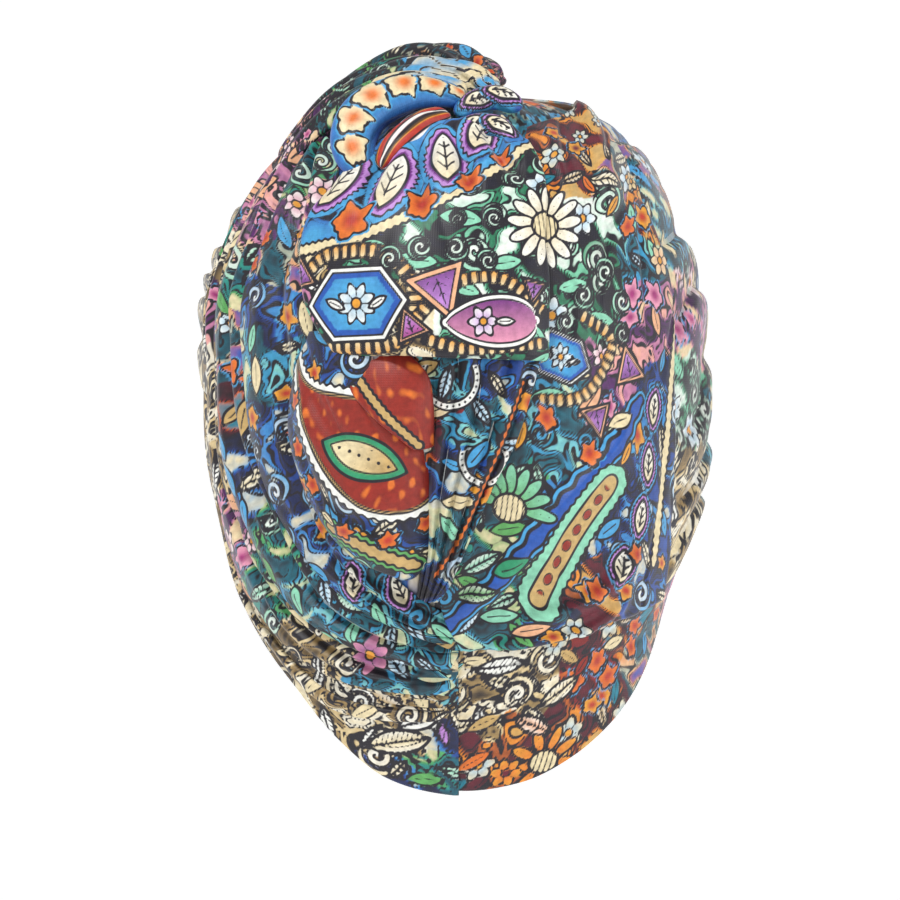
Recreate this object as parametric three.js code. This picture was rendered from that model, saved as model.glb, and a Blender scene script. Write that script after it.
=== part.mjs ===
// A turban headwrap: a sewn hat of one printed cloth, wrapped over a cap and twisted into a knot at the
// top of the back. Millimetres, +Z up, the back of the head towards -Y, the face towards +Y.
// The origin is where the top of the head meets the inside of the cap.
import * as THREE from "three";

// ---- Driving dimensions -------------------------------------------------------------------------
const TOP = 250; // height of the cap's crown above the lowest point of the hem
const CAP_WALL = 2; // cap and bands
const PANEL_WALL = 2.2; // panels and folds laid over the cap
const SEAT_HEIGHT = TOP - CAP_WALL; // where the head touches the cap
const GAP = 0.5; // clear space between neighbours that meet edge to edge

// Level sections of the cap's outer face: half-widths and half-depths from the head's axis.
const SECTION_COLUMNS = { height: 0, left: 1, right: 2, back: 3, front: 4 };
const SECTIONS = [
  [0, 69, 70, 70, 45],
  [30, 72, 72.5, 80, 62],
  [60, 73.5, 74, 90, 76],
  [90, 80, 83, 101, 88],
  [120, 86.5, 88.5, 108, 97],
  [150, 88, 89, 110, 102],
  [175, 88, 87.5, 107, 103],
  [200, 79, 79.5, 98, 99],
  [220, 65.5, 70.5, 83, 88],
  [235, 48, 56, 64, 70],
  [243, 35, 44, 50, 56],
  [248, 21, 27, 30, 34],
  [TOP, 0, 0, 0, 0],
];

// The hem: turn from the centre of the back (right positive, degrees) and height.
const HEM = [
  [-180, 160], [-150, 147], [-120, 114], [-90, 75], [-68, 55], [-50, 38], [-35, 20], [-20, 6],
  [0, 0], [20, 3], [35, 11], [50, 23], [65, 38], [80, 54], [90, 66], [120, 110], [150, 147], [180, 160],
];
// The upper edge of the hem bands, where the cap begins.
const BAND_TOP = [
  [-180, 196], [-150, 184], [-120, 154], [-90, 118], [-68, 92], [-50, 76], [-35, 66], [-20, 60],
  [0, 58], [20, 60], [35, 63], [50, 68], [65, 77], [80, 92], [90, 103], [120, 148], [150, 184], [180, 196],
];

// ---- Curves through tables ----------------------------------------------------------------------
// A cubic curve through the values at the knots, with each slope taken from its two neighbours.
function curveThrough(knots, values) {
  const last = knots.length - 1;
  const slope = values.map((value, i) => {
    const before = Math.max(i - 1, 0);
    const after = Math.min(i + 1, last);
    return (values[after] - values[before]) / (knots[after] - knots[before]);
  });
  return (at) => {
    let i = 0;
    while (i < last - 1 && at > knots[i + 1]) i += 1;
    const span = knots[i + 1] - knots[i];
    const u = THREE.MathUtils.clamp((at - knots[i]) / span, 0, 1);
    const u2 = u * u;
    const u3 = u2 * u;
    return (
      values[i] * (2 * u3 - 3 * u2 + 1) +
      slope[i] * span * (u3 - 2 * u2 + u) +
      values[i + 1] * (3 * u2 - 2 * u3) +
      slope[i + 1] * span * (u3 - u2)
    );
  };
}

// One curve for each column of a table whose rows are equally spaced from 0 to 1.
function columnsThrough(rows) {
  const knots = rows.map((row, i) => i / (rows.length - 1));
  return rows[0].map((first, column) => curveThrough(knots, rows.map((row) => row[column])));
}

const byTurn = (rows) => curveThrough(rows.map((row) => row[0]), rows.map((row) => row[1]));
const hemHeight = byTurn(HEM);
const bandTopHeight = byTurn(BAND_TOP);

// ---- The cap's outer face -----------------------------------------------------------------------
// The sections are joined over the square root of the drop below the top, which makes the dome round.
const dropOf = (height) => Math.sqrt(Math.max(TOP - height, 0));
const crownFirst = [...SECTIONS].reverse();
const crownDrops = crownFirst.map((row) => dropOf(row[SECTION_COLUMNS.height]));
const section = {};
for (const side of ["left", "right", "back", "front"]) {
  section[side] = curveThrough(crownDrops, crownFirst.map((row) => row[SECTION_COLUMNS[side]]));
}

function capPoint(turn, drop) {
  const angle = THREE.MathUtils.degToRad(turn);
  const left = section.left(drop);
  const right = section.right(drop);
  const back = section.back(drop);
  const front = section.front(drop);
  return new THREE.Vector3(
    (right - left) / 2 + ((right + left) / 2) * Math.sin(angle),
    (front - back) / 2 - ((front + back) / 2) * Math.cos(angle),
    TOP - drop * drop,
  );
}

// A point of the cap's face at a turn and height, moved out along the normal by lift.
const STEP_TURN = 0.5;
const STEP_DROP = 0.02;
function onHead(turn, height, lift) {
  const drop = Math.max(dropOf(height), STEP_DROP);
  const across = capPoint(turn + STEP_TURN, drop).sub(capPoint(turn - STEP_TURN, drop));
  const down = capPoint(turn, drop + STEP_DROP).sub(capPoint(turn, drop - STEP_DROP));
  const normal = down.cross(across).normalize();
  return capPoint(turn, dropOf(height)).addScaledVector(normal, lift);
}

// ---- Closed walls -------------------------------------------------------------------------------
// A closed body between an outer and an inner grid of points, [row][column], with its rims closed.
// Rows run upwards and columns to the right seen from outside. A wrapped wall's last column joins its
// first, and a domed wall's last row is one point.
function wallBetween(outer, inner, { wrapped = false, domed = false } = {}) {
  const rows = outer.length;
  const columns = outer[0].length;
  const positions = [];
  for (const grid of [outer, inner]) {
    for (const row of grid) for (const point of row) positions.push(point.x, point.y, point.z);
  }
  const indices = [];
  const at = (layer, row, column) => {
    const wide = wrapped ? column % columns : column;
    const place = domed && row === rows - 1 ? 0 : wide;
    return (layer * rows + row) * columns + place;
  };
  const quad = (a, b, c, d) => {
    for (const [p, q, r] of [[a, b, c], [a, c, d]]) {
      if (p !== q && q !== r && r !== p) indices.push(p, q, r);
    }
  };
  const lastColumn = wrapped ? columns : columns - 1;
  for (let row = 0; row < rows - 1; row += 1) {
    for (let column = 0; column < lastColumn; column += 1) {
      quad(at(0, row, column), at(0, row, column + 1), at(0, row + 1, column + 1), at(0, row + 1, column));
      quad(at(1, row, column), at(1, row + 1, column), at(1, row + 1, column + 1), at(1, row, column + 1));
    }
  }
  for (let column = 0; column < lastColumn; column += 1) {
    quad(at(0, 0, column), at(1, 0, column), at(1, 0, column + 1), at(0, 0, column + 1));
    if (!domed) {
      const top = rows - 1;
      quad(at(0, top, column), at(0, top, column + 1), at(1, top, column + 1), at(1, top, column));
    }
  }
  if (!wrapped) {
    for (let row = 0; row < rows - 1; row += 1) {
      quad(at(0, row, 0), at(0, row + 1, 0), at(1, row + 1, 0), at(1, row, 0));
      const end = columns - 1;
      quad(at(0, row, end), at(1, row, end), at(1, row + 1, end), at(0, row + 1, end));
    }
  }
  return compactGeometry(positions, indices);
}

// Keeps only the points that a face uses.
function compactGeometry(positions, indices) {
  const renumbered = new Map();
  const kept = [];
  const compact = indices.map((index) => {
    if (!renumbered.has(index)) {
      renumbered.set(index, kept.length / 3);
      kept.push(...positions.slice(index * 3, index * 3 + 3));
    }
    return renumbered.get(index);
  });
  const geometry = new THREE.BufferGeometry();
  geometry.setAttribute("position", new THREE.Float32BufferAttribute(kept, 3));
  geometry.setIndex(compact);
  geometry.computeVertexNormals();
  return geometry;
}

const gridOf = (rows, columns, pointAt) =>
  Array.from({ length: rows + 1 }, (unused, row) =>
    Array.from({ length: columns + 1 }, (alsoUnused, column) => pointAt(row / rows, column / columns)),
  );

// ---- The parts ----------------------------------------------------------------------------------
const turban = new THREE.Group();
turban.position.z = -SEAT_HEIGHT;

function addPiece(name, geometry, colour) {
  const material = new THREE.MeshStandardMaterial({ color: colour, roughness: 0.6, metalness: 0 });
  const mesh = new THREE.Mesh(geometry, material);
  mesh.name = name;
  turban.add(mesh);
}

// The cap: a dome from the bands' upper edge to the crown, open below.
const CAP_TURNS = 36;
const CAP_ROWS = 12;
function capGeometry() {
  const face = (lift) => {
    const rows = [];
    for (let row = 0; row <= CAP_ROWS; row += 1) {
      const points = [];
      for (let column = 0; column < CAP_TURNS; column += 1) {
        const turn = -180 + (360 * column) / CAP_TURNS;
        const lowest = dropOf(bandTopHeight(turn) + GAP);
        const drop = lowest * (1 - row / CAP_ROWS);
        points.push(onHead(turn, TOP - drop * drop, lift));
      }
      rows.push(points);
    }
    return rows;
  };
  return wallBetween(face(0), face(-CAP_WALL), { wrapped: true, domed: true });
}
addPiece("crown_cap", capGeometry(), 0x2b4a6b);

// The hem bands, from the seam at the centre of the nape to the middle of the brow.
const BAND_COLUMNS = 18;
const BAND_ROWS = 3;
const SEAM_TURN = 0.3;
const BROW_TURN = 179.7;
for (const [name, from, to, colour] of [
  ["nape_band_left", -BROW_TURN, -SEAM_TURN, 0x8a8672],
  ["nape_band_right", SEAM_TURN, BROW_TURN, 0xb07b4a],
]) {
  const face = (lift) =>
    gridOf(BAND_ROWS, BAND_COLUMNS, (up, across) => {
      const turn = THREE.MathUtils.lerp(from, to, across);
      const low = hemHeight(turn);
      const high = bandTopHeight(turn) - GAP;
      return onHead(turn, THREE.MathUtils.lerp(low, high, up), lift);
    });
  addPiece(name, wallBetween(face(0), face(-CAP_WALL)), colour);
}

// Pieces laid over the cap. Each row is a section across the piece, from its lower end to its upper
// end: where its left and right edges lie, and how far its outer face stands off the cap at the left
// edge, in the middle and at the right edge.
const STRIP_COLUMNS = {
  leftTurn: 0, leftHeight: 1, rightTurn: 2, rightHeight: 3, leftLift: 4, middleLift: 5, rightLift: 6,
};
// How far the outer face stands off the cap: straight from edge to edge, with a rise in the middle.
function standOff(row, across) {
  const left = row[STRIP_COLUMNS.leftLift];
  const middle = row[STRIP_COLUMNS.middleLift];
  const right = row[STRIP_COLUMNS.rightLift];
  const side = 2 * across - 1;
  return THREE.MathUtils.lerp(left, right, across) + (middle - (left + right) / 2) * (1 - side * side);
}

const STRIPS = [
  {
    name: "crown_panel",
    colour: 0x3f7fa8,
    along: 12,
    across: 7,
    rows: [
      [2, 51, 65, 66, 3.6, 6, 7.5],
      [-3, 67, 63, 88, 3.6, 6, 5],
      [-4, 86, 60, 108, 3.4, 5.6, 4],
      [2, 108, 58, 130, 3.4, 5, 3.8],
      [9, 136, 58, 158, 3.4, 4.6, 3.8],
      [15, 166, 59, 186, 3.4, 4.4, 3.8],
      [15, 198, 58, 210, 3.4, 4.4, 4.2],
      [15, 219, 58, 226, 3.6, 5, 5],
      [24, 234, 64, 242, 3.6, 5.5, 6.5],
    ],
  },
  {
    name: "side_panel_right",
    colour: 0xa7683a,
    along: 12,
    across: 11,
    rows: [
      [65.6, 66, 179.4, 188, 7.5, 5, 3.6],
      [63.6, 88, 179.4, 194, 5, 5, 3.6],
      [60.6, 108, 179.4, 200, 4, 4.6, 3.6],
      [58.6, 130, 179.4, 207, 3.8, 4.2, 3.6],
      [58.6, 158, 179.4, 214, 3.8, 4, 3.6],
      [59.6, 186, 179.4, 222, 3.8, 4, 3.6],
      [58.6, 210, 179.4, 230, 4.2, 4, 3.6],
      [58.6, 226, 179, 238, 5, 4, 3.6],
      [64.6, 242, 178, 247, 6.5, 4, 3.6],
    ],
  },
  {
    name: "centre_drape",
    colour: 0x9c3327,
    along: 8,
    across: 6,
    rows: [
      [-18, 78, -11.5, 77, 8, 9, 8],
      [-27, 88, -7, 87, 8, 12, 8],
      [-33, 99, -6, 99, 8, 13.5, 8],
      [-38, 115, -7, 114, 8, 13.5, 8],
      [-40, 133, -8, 127, 8, 12.5, 8],
      [-38, 146, -19, 138, 8, 10, 8],
      [-33, 156, -29, 153, 8, 8.4, 8],
    ],
  },
  {
    name: "drape_fold",
    colour: 0xc46a78,
    along: 5,
    across: 4,
    rows: [
      [-9, 129.5, -5, 130, 7.6, 8, 7.6],
      [-18, 140.5, -5, 141, 7.6, 10, 7.6],
      [-27, 154.5, -11, 154.5, 7.6, 9, 7.6],
    ],
  },
  {
    name: "centre_gather",
    colour: 0x274a66,
    along: 9,
    across: 5,
    rows: [
      [-9.5, 72, -5.5, 70, 7, 7.6, 7.2],
      [-4.5, 86, -1, 82, 6.6, 7.8, 7.6],
      [-4, 104, 6, 107, 5.6, 7.6, 7.8],
      [-3.5, 122, 12, 126, 5, 7.4, 8],
      [-3, 140, 16, 146, 5, 7.2, 8],
      [-8, 154, 19.5, 157, 5, 7.2, 8],
    ],
  },
  {
    name: "top_flap",
    colour: 0x3a4f9c,
    along: 9,
    across: 8,
    rows: [
      [-27, 161, 19.5, 161, 11.4, 11.8, 10.6],
      [-31, 174, 20.5, 176, 10.4, 10.8, 9.6],
      [-35, 189, 21, 196, 9, 9.6, 8.8],
      [-35, 203, 22, 212, 8, 9, 8.4],
      [-28, 215, 18, 224, 7.6, 8.4, 8],
      [-20, 222, 8, 229, 7.2, 8, 7.6],
    ],
  },
];

// The long folds on the left of the back share their edges, from the gather outwards.
const FOLD_EDGES = [
  [[-8, 67], [-18, 77], [-28, 93], [-33, 115], [-35, 140], [-34, 165], [-33, 185], [-33, 203], [-40, 218]],
  [[-8, 57], [-24, 67], [-38, 83], [-47, 104], [-52, 130], [-54, 156], [-54, 178], [-52, 198], [-54, 214]],
  [[-8, 47], [-28, 54], [-46, 68], [-57, 90], [-64, 118], [-65, 148], [-65, 174], [-64, 198], [-67, 216]],
  [[-8, 37], [-32, 42], [-54, 56], [-70, 78], [-75, 108], [-74, 140], [-73, 170], [-72, 198], [-78, 218]],
  [[-8, 27], [-35, 31], [-60, 52], [-90, 84], [-86, 126], [-82, 150], [-80, 174], [-79, 198], [-88, 220]],
];
const FOLD_COLOURS = [0x2f5f9f, 0x8f4f6f, 0x5f8f7f, 0x9f9f7f];
const EDGE_GAP = 0.4; // degrees and millimetres drawn in from a shared edge
FOLD_EDGES.slice(0, -1).forEach((rightEdge, index) => {
  const leftEdge = FOLD_EDGES[index + 1];
  STRIPS.push({
    name: `left_fold_${index + 1}`,
    colour: FOLD_COLOURS[index],
    along: 16,
    across: 4,
    rows: rightEdge.map(([rightTurn, rightHeight], row) => {
      const [leftTurn, leftHeight] = leftEdge[row];
      const left = [leftTurn + EDGE_GAP, leftHeight + EDGE_GAP];
      return [...left, rightTurn - EDGE_GAP, rightHeight - EDGE_GAP, 3.4, 4.4, 3.4];
    }),
  });
});

// The left side, from the outermost fold round to the middle of the front.
const SIDE_FIRST_ROW = 3; // the row of the outermost fold edge where the side panel begins
const SIDE_GAP = 2.4; // degrees
const FRONT_LEFT_EDGE = [
  [-179.4, 188], [-179.4, 198], [-179.4, 209], [-179.4, 220], [-179.4, 232], [-178, 246],
];
STRIPS.push({
  name: "side_panel_left",
  colour: 0x6f8f8f,
  along: 10,
  across: 11,
  rows: FRONT_LEFT_EDGE.map((frontEdge, row) => {
    const [turn, height] = FOLD_EDGES.at(-1)[row + SIDE_FIRST_ROW];
    return [...frontEdge, turn - SIDE_GAP, height + EDGE_GAP, 3.6, 4.6, 3.4];
  }),
});

for (const strip of STRIPS) {
  const columns = columnsThrough(strip.rows);
  const face = (sink) =>
    gridOf(strip.along, strip.across, (up, across) => {
      const row = columns.map((column) => column(up));
      const turn = THREE.MathUtils.lerp(row[STRIP_COLUMNS.leftTurn], row[STRIP_COLUMNS.rightTurn], across);
      const height = THREE.MathUtils.lerp(
        row[STRIP_COLUMNS.leftHeight],
        row[STRIP_COLUMNS.rightHeight],
        across,
      );
      return onHead(turn, height, standOff(row, across) - sink);
    });
  addPiece(strip.name, wallBetween(face(0), face(PANEL_WALL)), strip.colour);
}

// Rolls of cloth: a closed form with an oval section carried along a curve. Each row is a section: its
// centre, its half-width across the roll and its half-thickness off the head. Facing is the direction
// that the roll's broad side looks.
const ROLL_COLUMNS = { x: 0, y: 1, z: 2, halfWidth: 3, halfThickness: 4 };
const ROLLS = [
  {
    name: "front_roll_1",
    colour: 0x5a7a9a,
    facing: [-0.3, 0, 1],
    rows: [
      [-62, 2, 227, 4, 1.8], [-54, 4, 236, 6.5, 3.4], [-42, 4.5, 247, 8, 5.2], [-28, 3, 255, 8.6, 6.8],
      [-13, -1, 260, 9, 8], [1, -7, 260, 8.6, 7.6], [11, -15, 257, 6.5, 5.8], [17, -22, 253, 3.5, 3.4],
    ],
  },
  {
    name: "front_roll_2",
    colour: 0xc2b280,
    facing: [-0.3, -0.2, 1],
    rows: [
      [-62, -17, 225, 4, 1.6], [-53, -16, 235.5, 6, 3.2], [-41, -15.5, 246, 7.5, 4.8],
      [-27, -17, 253, 8.2, 5.8], [-12, -21, 256.5, 8.2, 6.4], [1, -26.5, 256, 7.6, 5.8],
      [10, -32, 253.5, 6, 4.6], [15, -38.5, 250, 3, 3],
    ],
  },
  {
    name: "front_roll_3",
    colour: 0x7fae7a,
    facing: [-0.3, -0.5, 1],
    rows: [
      [-61, -36, 221, 4, 1.6], [-54, -36, 230, 5.5, 2.8], [-44, -35.5, 240, 6.5, 4.2],
      [-31, -36, 247.5, 7, 5], [-18, -39, 251.5, 7, 5.2], [-5, -43.5, 251.5, 6, 4.6], [5, -48, 249, 4, 3],
    ],
  },
  {
    name: "knot_loop",
    colour: 0x2d55b0,
    facing: [0, -1, 0.7],
    rows: [
      [-31, -74, 225, 5, 3.6], [-34, -68, 232.5, 7, 5.2], [-29.5, -60.5, 241.5, 7.4, 5.8],
      [-18, -55.5, 247, 6.4, 5], [-6, -54, 248, 4.5, 3.6],
    ],
  },
  {
    name: "knot_core",
    colour: 0xb5482f,
    facing: [0, -1, 0.7],
    rows: [
      [-21, -75, 227, 2.5, 2], [-15, -71, 232.5, 3.6, 3], [-9, -65, 237.5, 3.6, 3], [-4, -60, 240, 2.5, 2],
    ],
  },
  {
    name: "knot_pleat_upper",
    colour: 0x9aa6d0,
    facing: [0, -1, 0.8],
    rows: [
      [1.5, -60.5, 241.5, 3, 2], [8, -56, 246.5, 4.5, 3.2], [16, -53, 248, 5, 3.4], [25, -53.5, 244, 3.6, 2.2],
    ],
  },
  {
    name: "knot_pleat_lower",
    colour: 0x4560b8,
    facing: [0, -1, 0.6],
    rows: [
      [0.5, -73, 234.5, 3, 2], [8, -70.5, 238, 4.2, 3], [16, -70.5, 237, 4.2, 3], [22, -75, 231, 2.6, 2],
    ],
  },
];
const ROLL_SIDES = 10;
const ROLL_STEPS = 10;
const END_SHRINK = 0.35; // each end closes on a short oval of this share of its section

function rollGeometry({ rows, facing }) {
  const columns = columnsThrough(rows);
  const centre = (at) =>
    new THREE.Vector3(...["x", "y", "z"].map((axis) => columns[ROLL_COLUMNS[axis]](at)));
  const face = new THREE.Vector3(...facing).normalize();
  const nearby = 0.01;
  const grid = [];
  for (let step = 0; step <= ROLL_STEPS; step += 1) {
    const at = step / ROLL_STEPS;
    const heading = centre(Math.min(at + nearby, 1)).sub(centre(Math.max(at - nearby, 0))).normalize();
    const side = new THREE.Vector3().crossVectors(heading, face).normalize();
    const out = new THREE.Vector3().crossVectors(side, heading).normalize();
    const shrink = step === 0 || step === ROLL_STEPS ? END_SHRINK : 1;
    const halfWidth = columns[ROLL_COLUMNS.halfWidth](at) * shrink;
    const halfThickness = columns[ROLL_COLUMNS.halfThickness](at) * shrink;
    const points = [];
    for (let corner = 0; corner < ROLL_SIDES; corner += 1) {
      const angle = (2 * Math.PI * corner) / ROLL_SIDES;
      points.push(
        centre(at)
          .addScaledVector(side, halfWidth * Math.cos(angle))
          .addScaledVector(out, halfThickness * Math.sin(angle)),
      );
    }
    grid.push(points);
  }
  const positions = grid.flat().flatMap((point) => [point.x, point.y, point.z]);
  const indices = [];
  for (let step = 0; step < ROLL_STEPS; step += 1) {
    for (let corner = 0; corner < ROLL_SIDES; corner += 1) {
      const next = (corner + 1) % ROLL_SIDES;
      const a = step * ROLL_SIDES + corner;
      const b = step * ROLL_SIDES + next;
      indices.push(a, b + ROLL_SIDES, b, a, a + ROLL_SIDES, b + ROLL_SIDES);
    }
  }
  const lastRing = ROLL_STEPS * ROLL_SIDES;
  for (let corner = 1; corner < ROLL_SIDES - 1; corner += 1) {
    indices.push(0, corner, corner + 1, lastRing, lastRing + corner + 1, lastRing + corner);
  }
  return compactGeometry(positions, indices);
}

for (const roll of ROLLS) addPiece(roll.name, rollGeometry(roll), roll.colour);

export default turban;
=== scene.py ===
import math

import bpy
import numpy as np
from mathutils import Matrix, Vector


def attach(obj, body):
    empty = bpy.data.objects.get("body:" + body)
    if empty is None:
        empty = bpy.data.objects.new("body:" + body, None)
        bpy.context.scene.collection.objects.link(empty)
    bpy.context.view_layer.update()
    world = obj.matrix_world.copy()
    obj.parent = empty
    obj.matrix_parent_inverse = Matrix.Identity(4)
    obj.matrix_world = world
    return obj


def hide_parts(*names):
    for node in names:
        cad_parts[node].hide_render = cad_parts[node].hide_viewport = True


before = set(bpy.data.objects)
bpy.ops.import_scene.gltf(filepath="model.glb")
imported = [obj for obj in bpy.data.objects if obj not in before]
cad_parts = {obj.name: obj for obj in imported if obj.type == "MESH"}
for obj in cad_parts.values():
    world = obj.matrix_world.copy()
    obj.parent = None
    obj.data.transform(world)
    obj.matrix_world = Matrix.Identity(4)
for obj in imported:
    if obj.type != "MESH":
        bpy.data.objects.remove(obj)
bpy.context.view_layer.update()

# A turban headwrap of printed satin jersey, wrapped over a cap and twisted into a knot at the top of the
# back. Shapes are worked out in millimetres, with heights counted from the lowest point of the hem and
# the back of the head towards -Y, and go into the meshes in metres about the frame's origin.

MM = 0.001
TOP = 250.0  # the cap's crown above the lowest point of the hem
CAP_WALL = 2.0
SEAT_HEIGHT = TOP - CAP_WALL  # the frame's origin, where the head meets the cap
SEED = 11
CLOTH_WALL = 0.9
HEAD_RADIUS = 80.0  # about what the head measures at the bands
BAND_DEPTH = 62.0  # about what a band measures from the hem up
CUT_SPACING = 2.5  # the grid on which the cuts are measured

# ---- Camera, light and floor --------------------------------------------------------------------
VIEW_HEIGHT = 324.0  # what the square view takes in at the head's axis
LENS = 560.0
SENSOR = 36.0
AIM = (-0.7, 0.0, 122.4)


def place(point):
    """A point in millimetres above the hem, as metres about the frame's origin."""
    x, y, z = point
    return (x * MM, y * MM, (z - SEAT_HEIGHT) * MM)


def make_camera():
    """Looks level at the back of the head, from as far away as takes in the view height."""
    camera = bpy.data.objects.new("camera", bpy.data.cameras.new("camera"))
    bpy.context.scene.collection.objects.link(camera)
    camera.data.lens = LENS
    camera.data.sensor_width = SENSOR
    camera.data.clip_end = 50.0
    distance = VIEW_HEIGHT * LENS / SENSOR
    camera.location = place((AIM[0], AIM[1] - distance, AIM[2]))
    camera.rotation_euler = (math.radians(90), 0, 0)
    bpy.context.scene.camera = camera


def linear(code):
    """An sRGB hex colour as linear red, green and blue."""
    values = np.array([int(code[i : i + 2], 16) for i in (1, 3, 5)]) / 255
    return np.where(values <= 0.04045, values / 12.92, ((values + 0.055) / 1.055) ** 2.4)


def add_light(name, at, size, power):
    """A round soft light, in metres and watts, aimed at the middle of the turban."""
    light = bpy.data.lights.new(name, "AREA")
    light.shape = "DISK"
    light.size = size
    light.energy = power
    lamp = bpy.data.objects.new(name, light)
    bpy.context.scene.collection.objects.link(lamp)
    lamp.location = at
    aim = np.array(place((0, 0, 130))) - np.array(at)
    lamp.rotation_euler = Vector(aim).to_track_quat("-Z", "Y").to_euler()


def make_studio():
    """A wide pale bowl: a level floor below the turban that curves up all round, a long way off."""
    floor_level, level_reach, reach, rise = -0.62, 8.0, 13.0, 0.2
    rings, corners = 60, 96
    radius = np.linspace(0.02, reach, rings)
    turn = np.linspace(0, 2 * np.pi, corners, endpoint=False)
    height = floor_level + rise * np.clip(radius - level_reach, 0, None) ** 2
    points = np.stack([
        radius[:, None] * np.cos(turn), radius[:, None] * np.sin(turn),
        np.broadcast_to(height[:, None], (rings, corners)),
    ], -1).reshape(-1, 3)
    index = np.arange(rings * corners).reshape(rings, corners)
    beside = np.roll(index, -1, axis=1)
    faces = np.stack([index[:-1], index[1:], beside[1:], beside[:-1]], -1).reshape(-1, 4)
    mesh = bpy.data.meshes.new("studio_sweep")
    mesh.from_pydata(points.tolist(), [], faces.tolist())
    mesh.shade_smooth()
    sweep = bpy.data.objects.new("studio_sweep", mesh)
    bpy.context.scene.collection.objects.link(sweep)
    paper = bpy.data.materials.new("matt_white_paper_sweep")
    paper.use_nodes = True
    shader = paper.node_tree.nodes["Principled BSDF"]
    shader.inputs["Base Color"].default_value = (*linear("#fafafa"), 1)
    shader.inputs["Roughness"].default_value = 0.9
    shader.inputs["Emission Color"].default_value = (1, 1, 1, 1)
    shader.inputs["Emission Strength"].default_value = 0.52
    mesh.materials.append(paper)

    world = bpy.data.worlds.new("studio")
    world.use_nodes = True
    world.node_tree.nodes["Background"].inputs["Color"].default_value = (1, 1, 1, 1)
    world.node_tree.nodes["Background"].inputs["Strength"].default_value = 0.36
    bpy.context.scene.world = world
    bpy.context.scene.view_settings.view_transform = "Standard"
    add_light("key", (-0.6, -1.1, 1.9), 0.4, 42)
    add_light("side", (1.7, -0.8, 0.4), 0.6, 11)


# ---- Curves and the cap's outer face ------------------------------------------------------------
def curve_through(knots, values, at):
    """Cubic curves through rows of values at the knots, each slope taken from its two neighbours."""
    knots = np.asarray(knots, float)
    values = np.asarray(values, float).reshape(len(knots), -1)
    before = np.maximum(np.arange(len(knots)) - 1, 0)
    after = np.minimum(np.arange(len(knots)) + 1, len(knots) - 1)
    slopes = (values[after] - values[before]) / (knots[after] - knots[before])[:, None]
    at = np.asarray(at, float)
    i = np.clip(np.searchsorted(knots, at, side="right") - 1, 0, len(knots) - 2)
    span = knots[i + 1] - knots[i]
    u = np.clip((at - knots[i]) / span, 0, 1)[..., None]
    span = span[..., None]
    return (
        values[i] * (2 * u**3 - 3 * u**2 + 1)
        + slopes[i] * span * (u**3 - 2 * u**2 + u)
        + values[i + 1] * (3 * u**2 - 2 * u**3)
        + slopes[i + 1] * span * (u**3 - u**2)
    )


def even_curve(rows, at):
    """The same through rows that are equally spaced from 0 to 1."""
    return curve_through(np.linspace(0, 1, len(rows)), rows, at)


# Level sections of the cap: height, then half-width left and right, half-depth back and front.
SECTIONS = np.array([
    [0, 69, 70, 70, 45],
    [30, 72, 72.5, 80, 62],
    [60, 73.5, 74, 90, 76],
    [90, 80, 83, 101, 88],
    [120, 86.5, 88.5, 108, 97],
    [150, 88, 89, 110, 102],
    [175, 88, 87.5, 107, 103],
    [200, 79, 79.5, 98, 99],
    [220, 65.5, 70.5, 83, 88],
    [235, 48, 56, 64, 70],
    [243, 35, 44, 50, 56],
    [248, 21, 27, 30, 34],
    [TOP, 0, 0, 0, 0],
])
# The hem and the upper edge of the bands: turn from the centre of the back, degrees, and height.
HEM = np.array([
    [-180, 160], [-150, 147], [-120, 114], [-90, 75], [-68, 55], [-50, 38], [-35, 20], [-20, 6],
    [0, 0], [20, 3], [35, 11], [50, 23], [65, 38], [80, 54], [90, 66], [120, 110], [150, 147], [180, 160],
])
BAND_TOP = np.array([
    [-180, 196], [-150, 184], [-120, 154], [-90, 118], [-68, 92], [-50, 76], [-35, 66], [-20, 60],
    [0, 58], [20, 60], [35, 63], [50, 68], [65, 77], [80, 92], [90, 103], [120, 148], [150, 184],
    [180, 196],
])


def edge_height(table, turn):
    """The height at a turn of an edge that is given as rows of turn and height."""
    return curve_through(table[:, 0], table[:, 1], turn)[:, 0]


def drop_of(height):
    """The square root of the distance below the crown, so that even steps of it round the dome off."""
    return np.sqrt(np.maximum(TOP - np.asarray(height, float), 0))


def sizes_at(height):
    """Centre and half-size of the level section at a height: x, half-width, y, half-depth."""
    knots = drop_of(SECTIONS[::-1, 0])
    left, right, back, front = np.moveaxis(curve_through(knots, SECTIONS[::-1, 1:], drop_of(height)), -1, 0)
    return (right - left) / 2, (right + left) / 2, (front - back) / 2, (front + back) / 2


def cap_point(turn, drop):
    """The oval section at a drop below the top, at an angle from the centre of the back."""
    x, half_width, y, half_depth = sizes_at(TOP - drop**2)
    angle = np.radians(turn)
    return np.stack([x + half_width * np.sin(angle), y - half_depth * np.cos(angle), TOP - drop**2], -1)


def unit(vectors):
    """Each vector over its own length."""
    return vectors / np.maximum(np.linalg.norm(vectors, axis=-1, keepdims=True), 1e-9)


def on_head(turn, height, lift):
    """A point of the cap's face at a turn and height, moved out along the normal by lift."""
    turn, height, lift = np.broadcast_arrays(turn, height, lift)
    step_turn, step_drop = 0.5, 0.02
    drop = np.maximum(drop_of(height), step_drop)
    across = cap_point(turn + step_turn, drop) - cap_point(turn - step_turn, drop)
    down = cap_point(turn, drop + step_drop) - cap_point(turn, drop - step_drop)
    return cap_point(turn, drop_of(height)) + unit(np.cross(down, across)) * lift[..., None]


def seen_from_behind(x, height, lift=4.0):
    """The turn at which the cap, built out by lift, has this x."""
    centre, half_width = sizes_at(height)[:2]
    return np.degrees(np.arcsin(np.clip((x - centre) / (half_width + lift), -1, 1)))


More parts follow.
